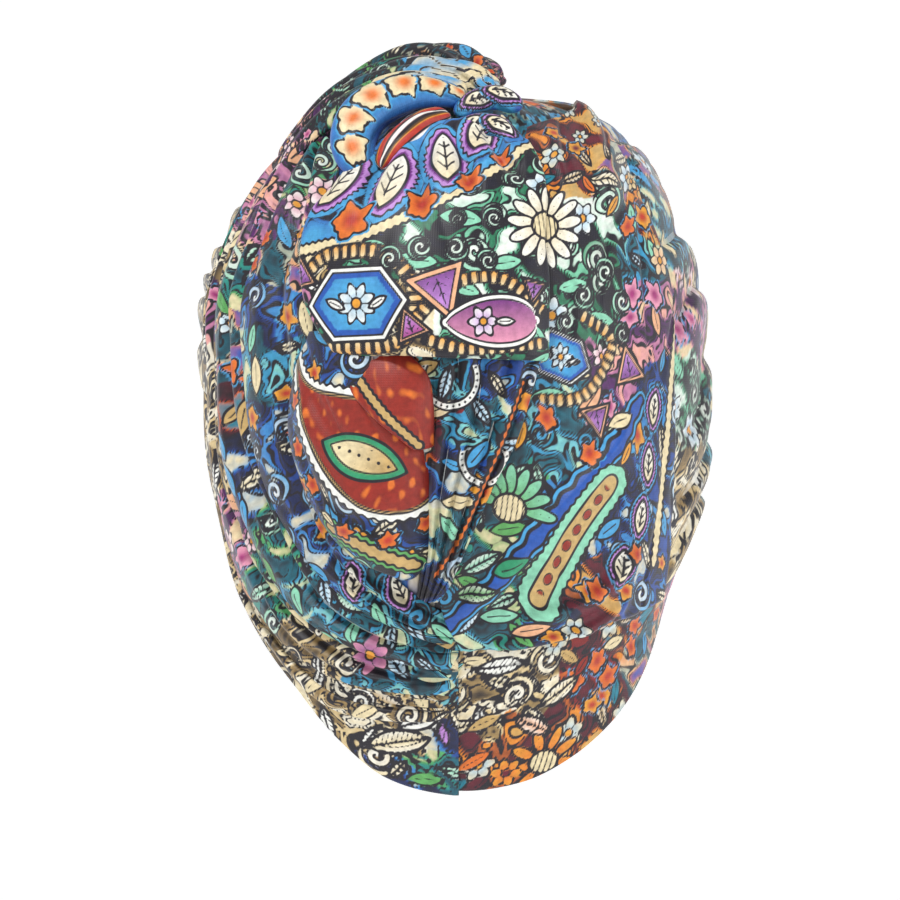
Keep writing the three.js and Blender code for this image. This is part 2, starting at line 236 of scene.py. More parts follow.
# Cloth is measured over the head: across along the level section from a middle turn, up the profile.
PROFILE_HEIGHTS = np.linspace(0, TOP, 400)
PROFILE_POINTS = cap_point(np.zeros(len(PROFILE_HEIGHTS)), drop_of(PROFILE_HEIGHTS))
PROFILE_LENGTHS = np.concatenate([[0], np.cumsum(np.linalg.norm(np.diff(PROFILE_POINTS, axis=0), axis=1))])


def cloth_place(turn, height, middle=0.0):
    """Millimetres across, as mean radius times turn, and up, as the length of the profile from the hem."""
    unused_x, half_width, unused_y, half_depth = sizes_at(height)
    across = (half_width + half_depth) / 2 * np.radians(turn - middle)
    up = np.interp(height, PROFILE_HEIGHTS, PROFILE_LENGTHS)
    return np.stack(np.broadcast_arrays(across, up), -1)


# ---- Meshes -------------------------------------------------------------------------------------
COARSE = 4  # the lining side has one point for this many on the outer side


def grid_faces(rows, columns, start=0, flip=False):
    """Four-sided faces between neighbouring rows and columns of a grid of points."""
    first = (np.arange(rows - 1)[:, None] * columns + np.arange(columns - 1)).ravel() + start
    quads = np.stack([first, first + 1, first + columns + 1, first + columns], 1)
    return quads[:, ::-1] if flip else quads


def rim_faces(fine, coarse, flip):
    """Triangles between a fine edge and a coarse one with every COARSE-th of its points."""
    faces = []
    for step in range(COARSE):
        nearest = coarse[:-1] if step < COARSE / 2 else coarse[1:]
        faces.append(np.stack([fine[step:-1:COARSE], fine[step + 1 :: COARSE], nearest], 1))
    middle = COARSE // 2
    faces.append(np.stack([coarse[:-1], fine[middle:-1:COARSE], coarse[1:]], 1))
    faces = np.concatenate(faces)
    return faces[:, ::-1] if flip else faces


def grid_normals(points):
    """The cross product of the grid's two directions at each point."""
    along = np.gradient(points, axis=0)
    across = np.gradient(points, axis=1)
    return unit(np.cross(across, along))


def lining_dye(dye):
    """The print's wrong side, where the dye has gone through only faintly."""
    return 0.55 * dye + 0.45 * linear("#cfcabf")


def build_object(name, points, faces, dye, ink, cloth):
    """A mesh object from points in millimetres. On its points it has the print's dye, the distance to
    drawn ink in millimetres, and the place on the cloth in metres, which the weave follows."""
    mesh = bpy.data.meshes.new(name)
    metres = (points - (0, 0, SEAT_HEIGHT)) * MM
    mesh.vertices.add(len(points))
    mesh.vertices.foreach_set("co", metres.astype(np.float32).ravel())
    sizes = np.concatenate([np.full(len(f), f.shape[1]) for f in faces])
    loops = np.concatenate([f.ravel() for f in faces])
    mesh.loops.add(len(loops))
    mesh.loops.foreach_set("vertex_index", loops.astype(np.int32))
    mesh.polygons.add(len(sizes))
    starts = np.concatenate([[0], np.cumsum(sizes)[:-1]])
    mesh.polygons.foreach_set("loop_start", starts.astype(np.int32))
    mesh.update(calc_edges=True)
    mesh.validate()
    mesh.shade_smooth()
    colours = np.concatenate([dye, np.ones((len(dye), 1))], 1)
    mesh.attributes.new("dye", "FLOAT_COLOR", "POINT").data.foreach_set(
        "color", colours.astype(np.float32).ravel()
    )
    mesh.attributes.new("ink", "FLOAT", "POINT").data.foreach_set("value", ink.astype(np.float32))
    weave = np.concatenate([cloth * MM, np.zeros((len(cloth), 1))], 1)
    mesh.attributes.new("weave", "FLOAT_VECTOR", "POINT").data.foreach_set(
        "vector", weave.astype(np.float32).ravel()
    )
    piece = bpy.data.objects.new(name, mesh)
    bpy.context.scene.collection.objects.link(piece)
    return piece


def wall_object(name, outer, dye, ink, cloth):
    """A closed cloth wall: the outer grid, a coarse lining side set in along the normals, and the rims."""
    rows, columns = outer.shape[:2]
    inner = outer[::COARSE, ::COARSE]
    inner = inner - grid_normals(inner) * CLOTH_WALL
    few_rows, few_columns = inner.shape[:2]
    start = rows * columns
    fine = np.arange(start).reshape(rows, columns)
    coarse = start + np.arange(few_rows * few_columns).reshape(few_rows, few_columns)
    faces = [
        grid_faces(rows, columns),
        grid_faces(few_rows, few_columns, start, flip=True),
        rim_faces(fine[0], coarse[0], flip=True),
        rim_faces(fine[-1], coarse[-1], flip=False),
        rim_faces(fine[:, 0], coarse[:, 0], flip=False),
        rim_faces(fine[:, -1], coarse[:, -1], flip=True),
    ]
    few_cloth = cloth[::COARSE, ::COARSE].reshape(-1, 2)
    wrong_side = lining_dye(dye[::COARSE, ::COARSE].reshape(-1, 3))
    return build_object(
        name,
        np.concatenate([outer.reshape(-1, 3), inner.reshape(-1, 3)]),
        faces,
        np.concatenate([dye.reshape(-1, 3), wrong_side]),
        np.concatenate([ink.ravel(), np.full(len(wrong_side), FAR)]),
        np.concatenate([cloth.reshape(-1, 2), few_cloth]),
    )


# ---- Folds --------------------------------------------------------------------------------------
def random_field(places, wavelength, seed):
    """Soft random hills of one size: waves of one length in many directions, added up."""
    rng = np.random.default_rng([SEED, seed])
    total = np.zeros(places.shape[:-1])
    count = 9
    for direction in rng.uniform(0, 2 * np.pi, count):
        wave = np.array([np.cos(direction), np.sin(direction)]) * 2 * np.pi / wavelength
        total += np.sin(places @ (wave * rng.uniform(0.8, 1.25)) + rng.uniform(0, 2 * np.pi))
    return total / math.sqrt(count / 2)


def path_distance(places, path):
    """Distance to a path of straight stretches, its side (1 on the left) and how far along it is, 0 to 1."""
    path = np.asarray(path, float)
    lengths = np.linalg.norm(np.diff(path, axis=0), axis=1)
    passed = np.concatenate([[0], np.cumsum(lengths)])
    best = np.full(places.shape[:-1], 1e9)
    side = np.ones(places.shape[:-1])
    along = np.zeros(places.shape[:-1])
    for i, (start, end) in enumerate(zip(path[:-1], path[1:])):
        heading = (end - start) / max(lengths[i], 1e-9)
        offset = places - start
        reach = np.clip(offset @ heading, 0, lengths[i])
        away = offset - reach[..., None] * heading
        distance = np.linalg.norm(away, axis=-1)
        nearer = distance < best
        best = np.where(nearer, distance, best)
        turn_side = np.sign(heading[0] * away[..., 1] - heading[1] * away[..., 0])
        side = np.where(nearer, turn_side, side)
        along = np.where(nearer, (passed[i] + reach) / passed[-1], along)
    return best, side, along


def smooth_path(points, count=14):
    """A curve through the points, as that many places along it."""
    return even_curve(points, np.linspace(0, 1, count))


def crease(places, path, height, left_width, right_width, fade=0.2):
    """A ridge along a path: its height falls off over one width to the left and another to the right,
    and it comes up and dies away over a share of the path at its ends."""
    distance, side, along = path_distance(places, smooth_path(path))
    width = np.where(side > 0, left_width, right_width)
    ends = np.clip(np.minimum(along, 1 - along) / fade, 0, 1)
    return height * np.exp(-((distance / width) ** 2)) * ends * ends * (3 - 2 * ends)


def stand_off(row, across):
    """Straight from edge to edge, with a rise in the middle."""
    left, middle, right = row[..., 4], row[..., 5], row[..., 6]
    side = 2 * across - 1
    return left + (right - left) * across + (middle - (left + right) / 2) * (1 - side * side)


ROLL_STEPS = 2 * COARSE


def rolled_edge(count, first, last):
    """Indices of a row of points whose ends may roll under, with each one's roll angle and way."""
    index, angle, way = [np.arange(count)], [np.zeros(count)], [np.zeros(count)]
    curl = np.linspace(np.pi, 0, ROLL_STEPS, endpoint=False)
    if first:
        index.insert(0, np.zeros(ROLL_STEPS, int))
        angle.insert(0, curl)
        way.insert(0, np.full(ROLL_STEPS, -1.0))
    if last:
        index.append(np.full(ROLL_STEPS, count - 1))
        angle.append(curl[::-1])
        way.append(np.full(ROLL_STEPS, 1.0))
    return np.concatenate(index), np.concatenate(angle), np.concatenate(way)


def no_relief(cloth, up, across):
    """A sheet that lies plain."""
    return 0


def strip_surface(rows, spacing, relief, rolls, roll_radius, cloth_middle):
    """The outer grid of a piece laid over the cap, and each point's place on the cloth.
    Rows are sections from the lower to the upper end: turn and height of the left edge, of the right
    edge, then the stand-off at the left, in the middle and at the right. Relief adds height from the
    cloth places and the shares up and across. Rolls names the edges turned under, of l, r, b and t:
    each goes on from the sheet round a half circle that ends beneath it."""
    rows = np.asarray(rows, float)
    probe = even_curve(rows, np.linspace(0, 1, 30))
    left = on_head(probe[:, 0], probe[:, 1], probe[:, 4])
    right = on_head(probe[:, 2], probe[:, 3], probe[:, 6])
    middle = on_head((probe[:, 0] + probe[:, 2]) / 2, (probe[:, 1] + probe[:, 3]) / 2, probe[:, 5])
    length = max(np.linalg.norm(np.diff(edge, axis=0), axis=1).sum() for edge in (left, middle, right))
    width = (np.linalg.norm(left - middle, axis=1) + np.linalg.norm(right - middle, axis=1)).max()
    up = np.linspace(0, 1, COARSE * max(2, round(length / spacing / COARSE)) + 1)[:, None]
    across = np.linspace(0, 1, COARSE * max(2, round(width / spacing / COARSE)) + 1)[None, :]
    row = even_curve(rows, up[:, 0])[:, None, :]
    turn = row[..., 0] + (row[..., 2] - row[..., 0]) * across
    height = row[..., 1] + (row[..., 3] - row[..., 1]) * across
    cloth = cloth_place(turn, height, cloth_middle)
    lift = stand_off(row, across) + relief(cloth, *np.broadcast_arrays(up, across))
    points = on_head(turn, height, lift)
    upward, sideways = unit(np.gradient(points, axis=0)), unit(np.gradient(points, axis=1))
    normals = unit(np.cross(sideways, upward))

    up_index, up_angle, up_way = rolled_edge(up.size, "b" in rolls, "t" in rolls)
    across_index, across_angle, across_way = rolled_edge(across.size, "l" in rolls, "r" in rolls)
    pick = np.ix_(up_index, across_index)
    up_angle, up_way = up_angle[:, None, None], up_way[:, None, None]
    across_angle, across_way = across_angle[None, :, None], across_way[None, :, None]
    rolled = (
        upward[pick] * up_way * np.sin(up_angle)
        + sideways[pick] * across_way * np.sin(across_angle)
        - normals[pick] * (2 - np.cos(up_angle) - np.cos(across_angle))
    )
    wound = np.broadcast_arrays(across_way * across_angle, up_way * up_angle)
    return points[pick] + rolled * roll_radius, cloth[pick] + roll_radius * np.concatenate(wound, -1)


def roll_surface(rows, facing, spacing, pleats, depth, twist):
    """A closed roll of cloth: an oval section carried along a curve and gathered into lengthwise pleats
    that turn about it. Rows are x, y, height, half-width and half-thickness. The rows of points crowd
    together at the ends, which round off to poles."""
    crowding, pleat_middle = 0.35, 0.55
    rows = np.asarray(rows, float)
    probe = even_curve(rows, np.linspace(0, 1, 60))
    length = np.linalg.norm(np.diff(probe[:, :3], axis=0), axis=1).sum()
    around_length = 2 * np.pi * probe[:, 3:].mean()
    steps = round(length / spacing)
    corners = round(around_length / spacing)
    even = np.arange(1, steps) / steps
    at = (1 - np.cos(np.pi * even)) / 2 * crowding + even * (1 - crowding)
    row = even_curve(rows, at)
    centre = row[:, :3]
    heading = unit(np.gradient(centre, axis=0))
    side = unit(np.cross(heading, unit(np.asarray(facing, float))))
    out = unit(np.cross(side, heading))
    ends = np.minimum(at, 1 - at) * length / row[:, 3]
    rounding = np.sqrt(1 - (1 - np.clip(ends, 0, 1)) ** 2)
    angle = np.linspace(0, 2 * np.pi, corners, endpoint=False)
    ridge = np.abs(np.cos(0.5 * pleats * (angle[None, :] + twist * 2 * np.pi * at[:, None])))
    swell = (1 + depth * (ridge - pleat_middle))[..., None]
    size = rounding[:, None, None] * swell
    grid = centre[:, None, :] + size * (
        side[:, None, :] * (row[:, 3, None] * np.cos(angle))[..., None]
        + out[:, None, :] * (row[:, 4, None] * np.sin(angle))[..., None]
    )
    ends_at = even_curve(rows, np.array([0.0, 1.0]))[:, :3]
    cloth = np.stack(
        np.broadcast_arrays(angle[None, :] / (2 * np.pi) * around_length, at[:, None] * length), -1
    )
    return grid, ends_at, cloth


def roll_object(name, grid, ends_at, dye, ink, cloth):
    """The mesh of a roll: its grid closed round the section, with a fan of faces to the pole at each end."""
    rows, columns = grid.shape[:2]
    index = np.arange(rows * columns).reshape(rows, columns)
    beside = np.roll(index, -1, axis=1)
    body = np.stack([index[:-1], index[1:], beside[1:], beside[:-1]], -1).reshape(-1, 4)
    first, last = rows * columns, rows * columns + 1
    start_fan = np.stack([np.full(columns, first), index[0], beside[0]], 1)
    end_fan = np.stack([np.full(columns, last), beside[-1], index[-1]], 1)
    points = np.concatenate([grid.reshape(-1, 3), ends_at])
    dye = np.concatenate([dye.reshape(-1, 3), dye[0, :1], dye[-1, :1]])
    ink = np.concatenate([ink.ravel(), ink[0, :1], ink[-1, :1]])
    cloth = np.concatenate([cloth.reshape(-1, 2), cloth[0, :1], cloth[-1, :1]])
    return build_object(name, points, [body, start_fan, end_fan], dye, ink, cloth)


# ---- The print ----------------------------------------------------------------------------------
PALETTE = {
    "ink": "#1e1b22", "night": "#1b1a28", "navy": "#1b2d66", "royal": "#2450a2", "sky": "#4495c6",
    "pale_sky": "#93bdd6", "teal": "#1d7488", "mint": "#82c4a6", "emerald": "#2d8a62", "leaf": "#589c56",
    "cream": "#d8c8a0", "white": "#e2e2dc", "tan": "#b99a62", "amber": "#d3912f", "orange": "#d06a26",
    "red": "#aa3226", "brick": "#872419", "maroon": "#641a2a", "magenta": "#96286a", "purple": "#632572",
    "lilac": "#b27fc4", "pink": "#d58ea6", "peach": "#dca57f",
}
DYES = {name: linear(code) for name, code in PALETTE.items()}
LINE = 0.48  # half the width of a drawn line
FAR = 1.0  # an ink distance that means no ink near

# Grounds: the dyes that fill the small shapes between the large motifs, from low to high.
GROUNDS = {
    "night": ("night", "ink", "emerald", "mint", "white"),
    "sea": ("ink", "teal", "sky", "mint", "cream"),
    "deep": ("ink", "navy", "royal", "sky", "cream"),
    "ember": ("maroon", "ink", "orange", "amber", "tan"),
    "wine": ("ink", "maroon", "brick", "orange", "teal"),
    "chalk": ("ink", "tan", "cream", "white", "cream"),
    "rose": ("ink", "purple", "pink", "peach", "cream"),
    "garden": ("ink", "teal", "emerald", "leaf", "cream"),
    "fair": ("ink", "teal", "cream", "orange", "royal"),
}


class Print:
    """The dyes on one piece: each point's place on the cloth, its dye and its distance to drawn ink."""

    def __init__(self, cloth):
        self.shape = cloth.shape[:2]
        self.cloth = cloth.reshape(-1, 2)
        self.dye = np.zeros((len(self.cloth), 3))
        self.ink = np.full(len(self.cloth), FAR)

    def near(self, centre, reach, angle=0.0):
        """The points within reach of a centre, and their places about it, turned by an angle in degrees."""
        offset = self.cloth - centre
        index = np.nonzero((np.abs(offset[:, 0]) < reach) & (np.abs(offset[:, 1]) < reach))[0]
        c, s = math.cos(math.radians(angle)), math.sin(math.radians(angle))
        return index, offset[index] @ np.array([[c, -s], [s, c]])

    def fill(self, index, distance, dye, line=LINE):
        """Dyes the inside of a shape, given each point's distance from its edge, and draws its outline."""
        inside = distance < 0
        colour = DYES[dye] if isinstance(dye, str) else dye[inside]
        self.dye[index[inside]] = colour
        self.ink[index[inside]] = FAR
        if line:
            self.ink[index] = np.minimum(self.ink[index], np.abs(distance) - line)

    def draw(self, index, distance, line=LINE):
        """Draws ink along a line, given each point's distance from it."""
        self.ink[index] = np.minimum(self.ink[index], np.abs(distance) - line)

    def results(self):
        """The dye and the ink on the grid of points."""
        return self.dye.reshape(*self.shape, 3), np.minimum(self.ink, FAR).reshape(self.shape)


def blend(share, first, second):
    """A mix of two dyes, by each point's share from 0 to 1."""
    share = np.clip(share, 0, 1)[:, None]
    return DYES[first] * (1 - share) + DYES[second] * share


# Distances from the edge of a shape, negative inside it.
def oval(p, length, width):
    """An ellipse's scaled radius less one, over its steepness."""
    scaled = np.hypot(p[:, 0] / length, p[:, 1] / width)
    steep = np.hypot(p[:, 0] / length**2, p[:, 1] / width**2)
    return scaled * (scaled - 1) / np.maximum(steep, 1e-9)


def pointed_leaf(p, length, width):
    """What two equal circles have in common, whose rims cross at the leaf's two tips."""
    radius = (length**2 + width**2) / (2 * width)
    drop = radius - width
    return np.maximum(np.hypot(p[:, 0], p[:, 1] + drop), np.hypot(p[:, 0], p[:, 1] - drop)) - radius


def capsule(p, length, radius):
    """Everything within a radius of a straight stretch."""
    return np.hypot(p[:, 0] - np.clip(p[:, 0], -length, length), p[:, 1]) - radius


def teardrop(p, length, width):
    """Round at its left end and drawn out to a point at the right: its half-width goes as the root of
    the way from the round end, times the way from the point to the power three quarters."""
    u = np.clip((p[:, 0] / length + 1) / 2, 0, 1)
    half = width * 1.9575 * np.sqrt(u) * (1 - u) ** 0.75
    beyond = np.maximum(np.abs(p[:, 0]) - length, 0)
    return np.hypot(np.maximum(np.abs(p[:, 1]) - half, 0), beyond) - np.maximum(half - np.abs(p[:, 1]), 0)


def long_hexagon(p, length, width):
    """Two level sides, and two slanting ones at each end."""
    slant = (np.abs(p[:, 0]) * 0.8 + np.abs(p[:, 1]) * 0.6) - length * 0.8
    return np.maximum(np.abs(p[:, 1]) - width, slant)


def star(p, radius, points, depth):
    """A circle whose radius swells by a cosine, once for each point."""
    angle = np.arctan2(p[:, 1], p[:, 0])
    return np.hypot(p[:, 0], p[:, 1]) - radius * (1 + depth * np.cos(points * angle))


def scalloped(p, distance, size, bite):
    """A shape's edge with small round scallops along it."""
    angle = np.arctan2(p[:, 1], p[:, 0])
    return distance + bite * np.cos(size * angle)


def triangle(p, radius):
    """What three straight sides enclose, each at half the radius from the middle."""
    turns = [math.radians(a) for a in (90, 210, 330)]
    return np.max([-(p[:, 0] * math.cos(a) + p[:, 1] * math.sin(a)) for a in turns], axis=0) - radius / 2


# Motifs, each drawn about its own centre with its length along its first axis.
def veined_leaf(cloth, centre, size, angle, body="cream", halo="lilac", rim="purple"):
    """A leaf with a stem and slanting veins, in a rim, a scalloped halo and a glow."""
    index, p = cloth.near(centre, size * 1.6, angle)
    edge = pointed_leaf(p, size, size * 0.46)
    cloth.fill(index, edge - size * 0.42, "sky", LINE * 0.4)
    cloth.fill(index, scalloped(p, edge - size * 0.24, 22, size * 0.035), halo, LINE * 0.8)
    cloth.fill(index, edge - size * 0.1, rim, 0)
    cloth.fill(index, edge, blend(p[:, 0] / size * 0.5 + 0.5, body, "white"))
    vein = np.where(np.abs(p[:, 0]) < size * 0.62, np.abs(p[:, 1]), FAR)
    spread = np.abs(np.abs(p[:, 1]) * 1.2 - (np.mod(p[:, 0] + size * 0.5, size * 0.42)))
    branches = np.where((edge < -size * 0.14) & (np.abs(p[:, 1]) < size * 0.28), spread * 0.7, FAR)
    cloth.draw(index, np.minimum(vein, branches), LINE * 0.75)


def flame_leaf(cloth, centre, size, angle, body="orange", heart="red"):
    """A long five-pointed leaf, its points longest ahead, that glows from its heart outwards."""
    index, p = cloth.near(centre, size * 1.7, angle)
    stretched = p * (0.85, 1.1)
    reach = np.hypot(stretched[:, 0], stretched[:, 1])
    around = np.arctan2(stretched[:, 1], stretched[:, 0])
    spike = (np.abs(np.sin(5 / 2 * around)) ** 1.2 - 0.5) * (0.8 + 0.4 * np.cos(around))
    edge = reach - size * (0.62 - 0.3 * spike + 0.03 * np.sin(11 * around))
    cloth.fill(index, edge - size * 0.12, "sky", 0)
    cloth.fill(index, edge, blend(1.35 - reach / size * 3.2, body, heart))


def small_flower(cloth, centre, size, angle, petals=6, body="white", heart="amber", shade="pale_sky"):
    """Petals parted by lines, round a plain heart."""
    index, p = cloth.near(centre, size * 1.5, angle)
    edge = star(p, size * 0.78, petals, 0.2)
    cloth.fill(index, edge, blend(np.hypot(p[:, 0], p[:, 1]) / size, shade, body))
    turn = np.mod(np.arctan2(p[:, 1], p[:, 0]) + np.pi / petals, 2 * np.pi / petals) - np.pi / petals
    spokes = np.abs(np.abs(turn) - np.pi / petals) * np.hypot(p[:, 0], p[:, 1])
    cloth.draw(index, np.where(edge < 0, spokes, FAR), LINE * 0.5)
    cloth.fill(index, np.hypot(p[:, 0], p[:, 1]) - size * 0.24, heart, LINE * 0.7)


def cartouche(cloth, centre, size, angle, body="sky", deep="royal"):
    """A white-rimmed hexagon with a flower and two leaves inside."""
    index, p = cloth.near(centre, size * 1.7, angle)
    edge = long_hexagon(p, size, size * 0.62)
    cloth.fill(index, edge - size * 0.17, "white", LINE)
    cloth.fill(index, edge - size * 0.05, deep, LINE * 0.7)
    cloth.fill(index, edge + size * 0.08, blend(1.6 - 1.2 * np.hypot(p[:, 0], p[:, 1]) / size, deep, body), 0)
    small_flower(cloth, centre, size * 0.48, angle + 20, 8)
    for way in (-1, 1):
        shift = np.array([math.cos(math.radians(angle)), math.sin(math.radians(angle))]) * size * 0.5 * way
        leaf_blade(cloth, centre + shift, size * 0.24, angle + 25 * way, "white")


def drop_cartouche(cloth, centre, size, angle, body="pink", deep="purple"):
    """A white-rimmed teardrop with a flower and a leaf inside."""
    index, p = cloth.near(centre, size * 1.6, angle)
    edge = teardrop(p, size, size * 0.55)
    cloth.fill(index, edge - size * 0.12, "white", LINE)
    cloth.fill(index, edge, blend(0.5 - p[:, 1] / size, body, deep), LINE * 0.7)
    small_flower(cloth, centre - np.array([size * 0.2, 0]), size * 0.36, angle, body="white", shade="lilac")
    leaf_blade(cloth, centre + np.array([size * 0.28, 0.02]), size * 0.22, angle, "white")


def leaf_blade(cloth, centre, size, angle, body="mint"):
    """A plain leaf with a short vein."""
    index, p = cloth.near(centre, size * 1.4, angle)
    cloth.fill(index, pointed_leaf(p, size, size * 0.4), body, LINE * 0.8)
    cloth.draw(index, np.where(np.abs(p[:, 0]) < size * 0.6, np.abs(p[:, 1]), FAR), LINE * 0.5)


def hatched_leaf(cloth, centre, size, angle, body="cream"):
    """A long leaf with a stem line and slanting hatching on both sides."""
    gap = 1.9
    index, p = cloth.near(centre, size * 1.3, angle)
    edge = pointed_leaf(p, size, size * 0.36)
    cloth.fill(index, edge, blend(np.abs(p[:, 1]) / size * 2.2, body, "white"))
    cloth.draw(index, np.where(edge < 0, np.abs(p[:, 1]), FAR), LINE * 0.8)
    slant = np.abs(np.mod(p[:, 0] - np.abs(p[:, 1]) * 0.9, gap) - gap / 2)
    cloth.draw(index, np.where(edge < -0.5, slant, FAR), LINE * 0.55)


def curl(cloth, centre, size, angle, body="mint", light="white"):
    """A scroll: a spiral band that winds in to its centre."""
    index, p = cloth.near(centre, size * 1.25, angle)
    radius = np.hypot(p[:, 0], p[:, 1])
    turn = np.arctan2(p[:, 1], p[:, 0]) / (2 * np.pi)
    pitch = size * 0.5
    wound = np.mod(radius / pitch - turn, 1.0)
    outside = radius - size * (0.82 + 0.18 * np.sin(2 * np.pi * turn))
    edge = np.maximum((np.abs(wound - 0.5) - 0.3) * pitch, outside)
    cloth.fill(index, edge, blend(radius / size, light, body), LINE * 0.8)


def daisy(cloth, centre, size, angle, petals=12, body="white", shade="cream", spread=360.0):
    """Long petals round a hatched heart, each with a row of dots."""
    middle = np.asarray(centre, float)
    for petal in range(petals):
        way = angle + spread * petal / petals
        along = np.array([math.cos(math.radians(way)), math.sin(math.radians(way))])
        index, p = cloth.near(middle + along * size * 0.68, size * 0.5, way)
        edge = oval(p, size * 0.36, size * 0.15)
        cloth.fill(index, edge, blend(p[:, 0] / size + 0.6, shade, body), LINE * 0.9)
        beads = np.hypot(np.mod(p[:, 0], size * 0.13) - size * 0.065, p[:, 1])
        cloth.draw(index, np.where(edge < -size * 0.06, beads, FAR), LINE * 0.5)
    index, p = cloth.near(middle, size * 0.6, angle)
    edge = oval(p, size * 0.4, size * 0.34)
    cloth.fill(index, edge, "cream")
    gap = 1.9
    bands = np.abs(np.mod(p[:, 0] + 0.15 * p[:, 1] ** 2 / size, gap) - gap / 2)
    cloth.draw(index, np.where(edge < -0.4, bands, FAR), LINE * 0.55)


def branch_triangle(cloth, centre, size, angle, body="purple", rim="peach"):
    """A rimmed triangle with a stem and twigs drawn in it."""
    index, p = cloth.near(centre, size * 1.6, angle)
    cloth.fill(index, triangle(p, size), rim)
    cloth.fill(index, triangle(p, size * 0.68), blend(0.5 + p[:, 1] / size, body, "lilac"), LINE * 0.6)
    stem = np.where(triangle(p, size * 0.5) < 0, np.abs(p[:, 0]), FAR)
    twigs = np.abs(np.mod(p[:, 1] - np.abs(p[:, 0]), size * 0.3) - size * 0.15)
    cloth.draw(index, np.minimum(stem, np.where(triangle(p, size * 0.45) < 0, twigs, FAR)), LINE * 0.6)


def pod(cloth, centre, size, angle, rim="leaf", body="tan", bead="brick"):
    """A long pod with a scalloped rim and a row of beads down its middle."""
    index, p = cloth.near(centre, size * 1.35, angle)
    p = p + np.stack([np.zeros(len(p)), 0.12 * p[:, 0] ** 2 / size - 0.03 * size], 1)
    edge = capsule(p, size * 0.78, size * 0.13)
    ripple = 0.35 * np.cos(2 * np.pi * p[:, 0] / 3.4)
    cloth.fill(index, edge - size * 0.13 + ripple, blend(np.clip(-edge, 0, 1), "mint", rim))
    cloth.fill(index, edge, body)
    step = size * 0.22
    beads = np.hypot((np.mod(p[:, 0], step) - step / 2) * 0.8, p[:, 1]) - size * 0.055
    cloth.fill(index, np.where(np.abs(p[:, 0]) < size * 0.75, beads, FAR), bead, LINE * 0.5)


def almond(cloth, centre, size, angle):
    """A ringed almond, with a dotted heart."""
    pitch = 3.6
    index, p = cloth.near(centre, size * 1.8, angle)
    edge = pointed_leaf(p, size, size * 0.42)
    cloth.fill(index, edge - size * 0.12, blend(-edge, "emerald", "leaf"))
    cloth.fill(index, edge + size * 0.06, blend(0.4 + p[:, 0] / size, "cream", "tan"), LINE * 0.6)
    dots = np.hypot(np.mod(p[:, 0], pitch) - pitch / 2, np.mod(p[:, 1] + pitch / 2, pitch) - pitch / 2)
    cloth.draw(index, np.where(edge < -size * 0.16, dots, FAR), LINE * 1.3)


MOTIFS = {
    "leaf": veined_leaf, "flame": flame_leaf, "flower": small_flower, "cartouche": cartouche,
    "drop": drop_cartouche, "blade": leaf_blade, "feather": hatched_leaf, "curl": curl, "daisy": daisy,
    "branch": branch_triangle, "pod": pod, "almond": almond,
}

# Small motifs strewn on each ground: what is drawn, and its dyes.
STREWN = {
    "night": [("curl", {}), ("curl", {"body": "emerald"}), ("blade", {"body": "mint"}), ("flower", {})],
    "sea": [("blade", {"body": "cream"}), ("feather", {"body": "pale_sky"}),
            ("curl", {"body": "teal", "light": "sky"}),
            ("blade", {"body": "mint"})],
    "deep": [("flame", {"body": "amber"}), ("feather", {"body": "cream"}), ("blade", {"body": "sky"}),
             ("curl", {"body": "sky"})],
    "ember": [("flame", {"body": "amber"}), ("flower", {"body": "cream"}), ("blade", {"body": "teal"}),
              ("feather", {"body": "tan"})],
    "wine": [("flame", {}), ("blade", {"body": "tan"}), ("flower", {"body": "cream"})],
    "chalk": [("feather", {}), ("feather", {"body": "white"}), ("curl", {"body": "cream"}),
              ("blade", {"body": "cream"})],
    "rose": [("blade", {"body": "peach"}), ("flower", {"body": "white", "shade": "pink"}),
             ("flame", {"body": "pink", "heart": "magenta"})],
    "garden": [("blade", {"body": "leaf"}), ("feather", {"body": "mint"}), ("curl", {"body": "mint"})],
    "fair": [("flame", {}), ("blade", {"body": "sky"}), ("flower", {}), ("feather", {})],
}


def lay_ground(cloth, anchors, seed, strew_gap=13.5, doodle=17.0):
    """Dyes a piece all over: zones round anchors (x, y and a ground's name, in cloth millimetres), each
    broken by drawn outlines into small curved shapes in its ground's dyes, then strewn with motifs."""
    places = cloth.cloth
    bend = np.stack([random_field(places, 16, seed), random_field(places, 16, seed + 1)], 1) * 2.5
    spots = np.array([anchor[:2] for anchor in anchors], float)
    zone = np.argmin([np.hypot(*(places + bend - spot).T) for spot in spots], axis=0)
    flow = np.stack([random_field(places, 13, seed + 2), random_field(places, 13, seed + 3)], 1)
    warped = places + flow * 1.8
    level = random_field(warped, doodle, seed + 4)
    fine = random_field(warped, doodle * 0.5, seed + 5)
    value = level * 0.85 + fine * 0.3
    bounds = np.array([-0.8, -0.2, 0.4, 1.0])
    band = np.digitize(value, bounds)
    shade = 0.5 + 0.5 * np.sin(random_field(places, 7, seed + 6) * 2)
    slope = 2 * np.pi / doodle * 0.85
    away = np.min([np.abs(value - bound) for bound in bounds], axis=0) / slope
    for number, (unused_x, unused_y, ground) in enumerate(anchors):
        dyes = np.array([DYES[name] for name in GROUNDS[ground]])
        here = zone == number
        plain = dyes[band[here]]
        beside = dyes[np.where(band[here] > 0, band[here] - 1, 1)]
        share = 0.55 * np.exp(-away[here] / 1.6)[:, None] + 0.2 * shade[here][:, None]
        cloth.dye[here] = plain * (1 - share) + beside * share
    cloth.ink = away - LINE * 0.8
    strew(cloth, anchors, zone, seed, strew_gap)


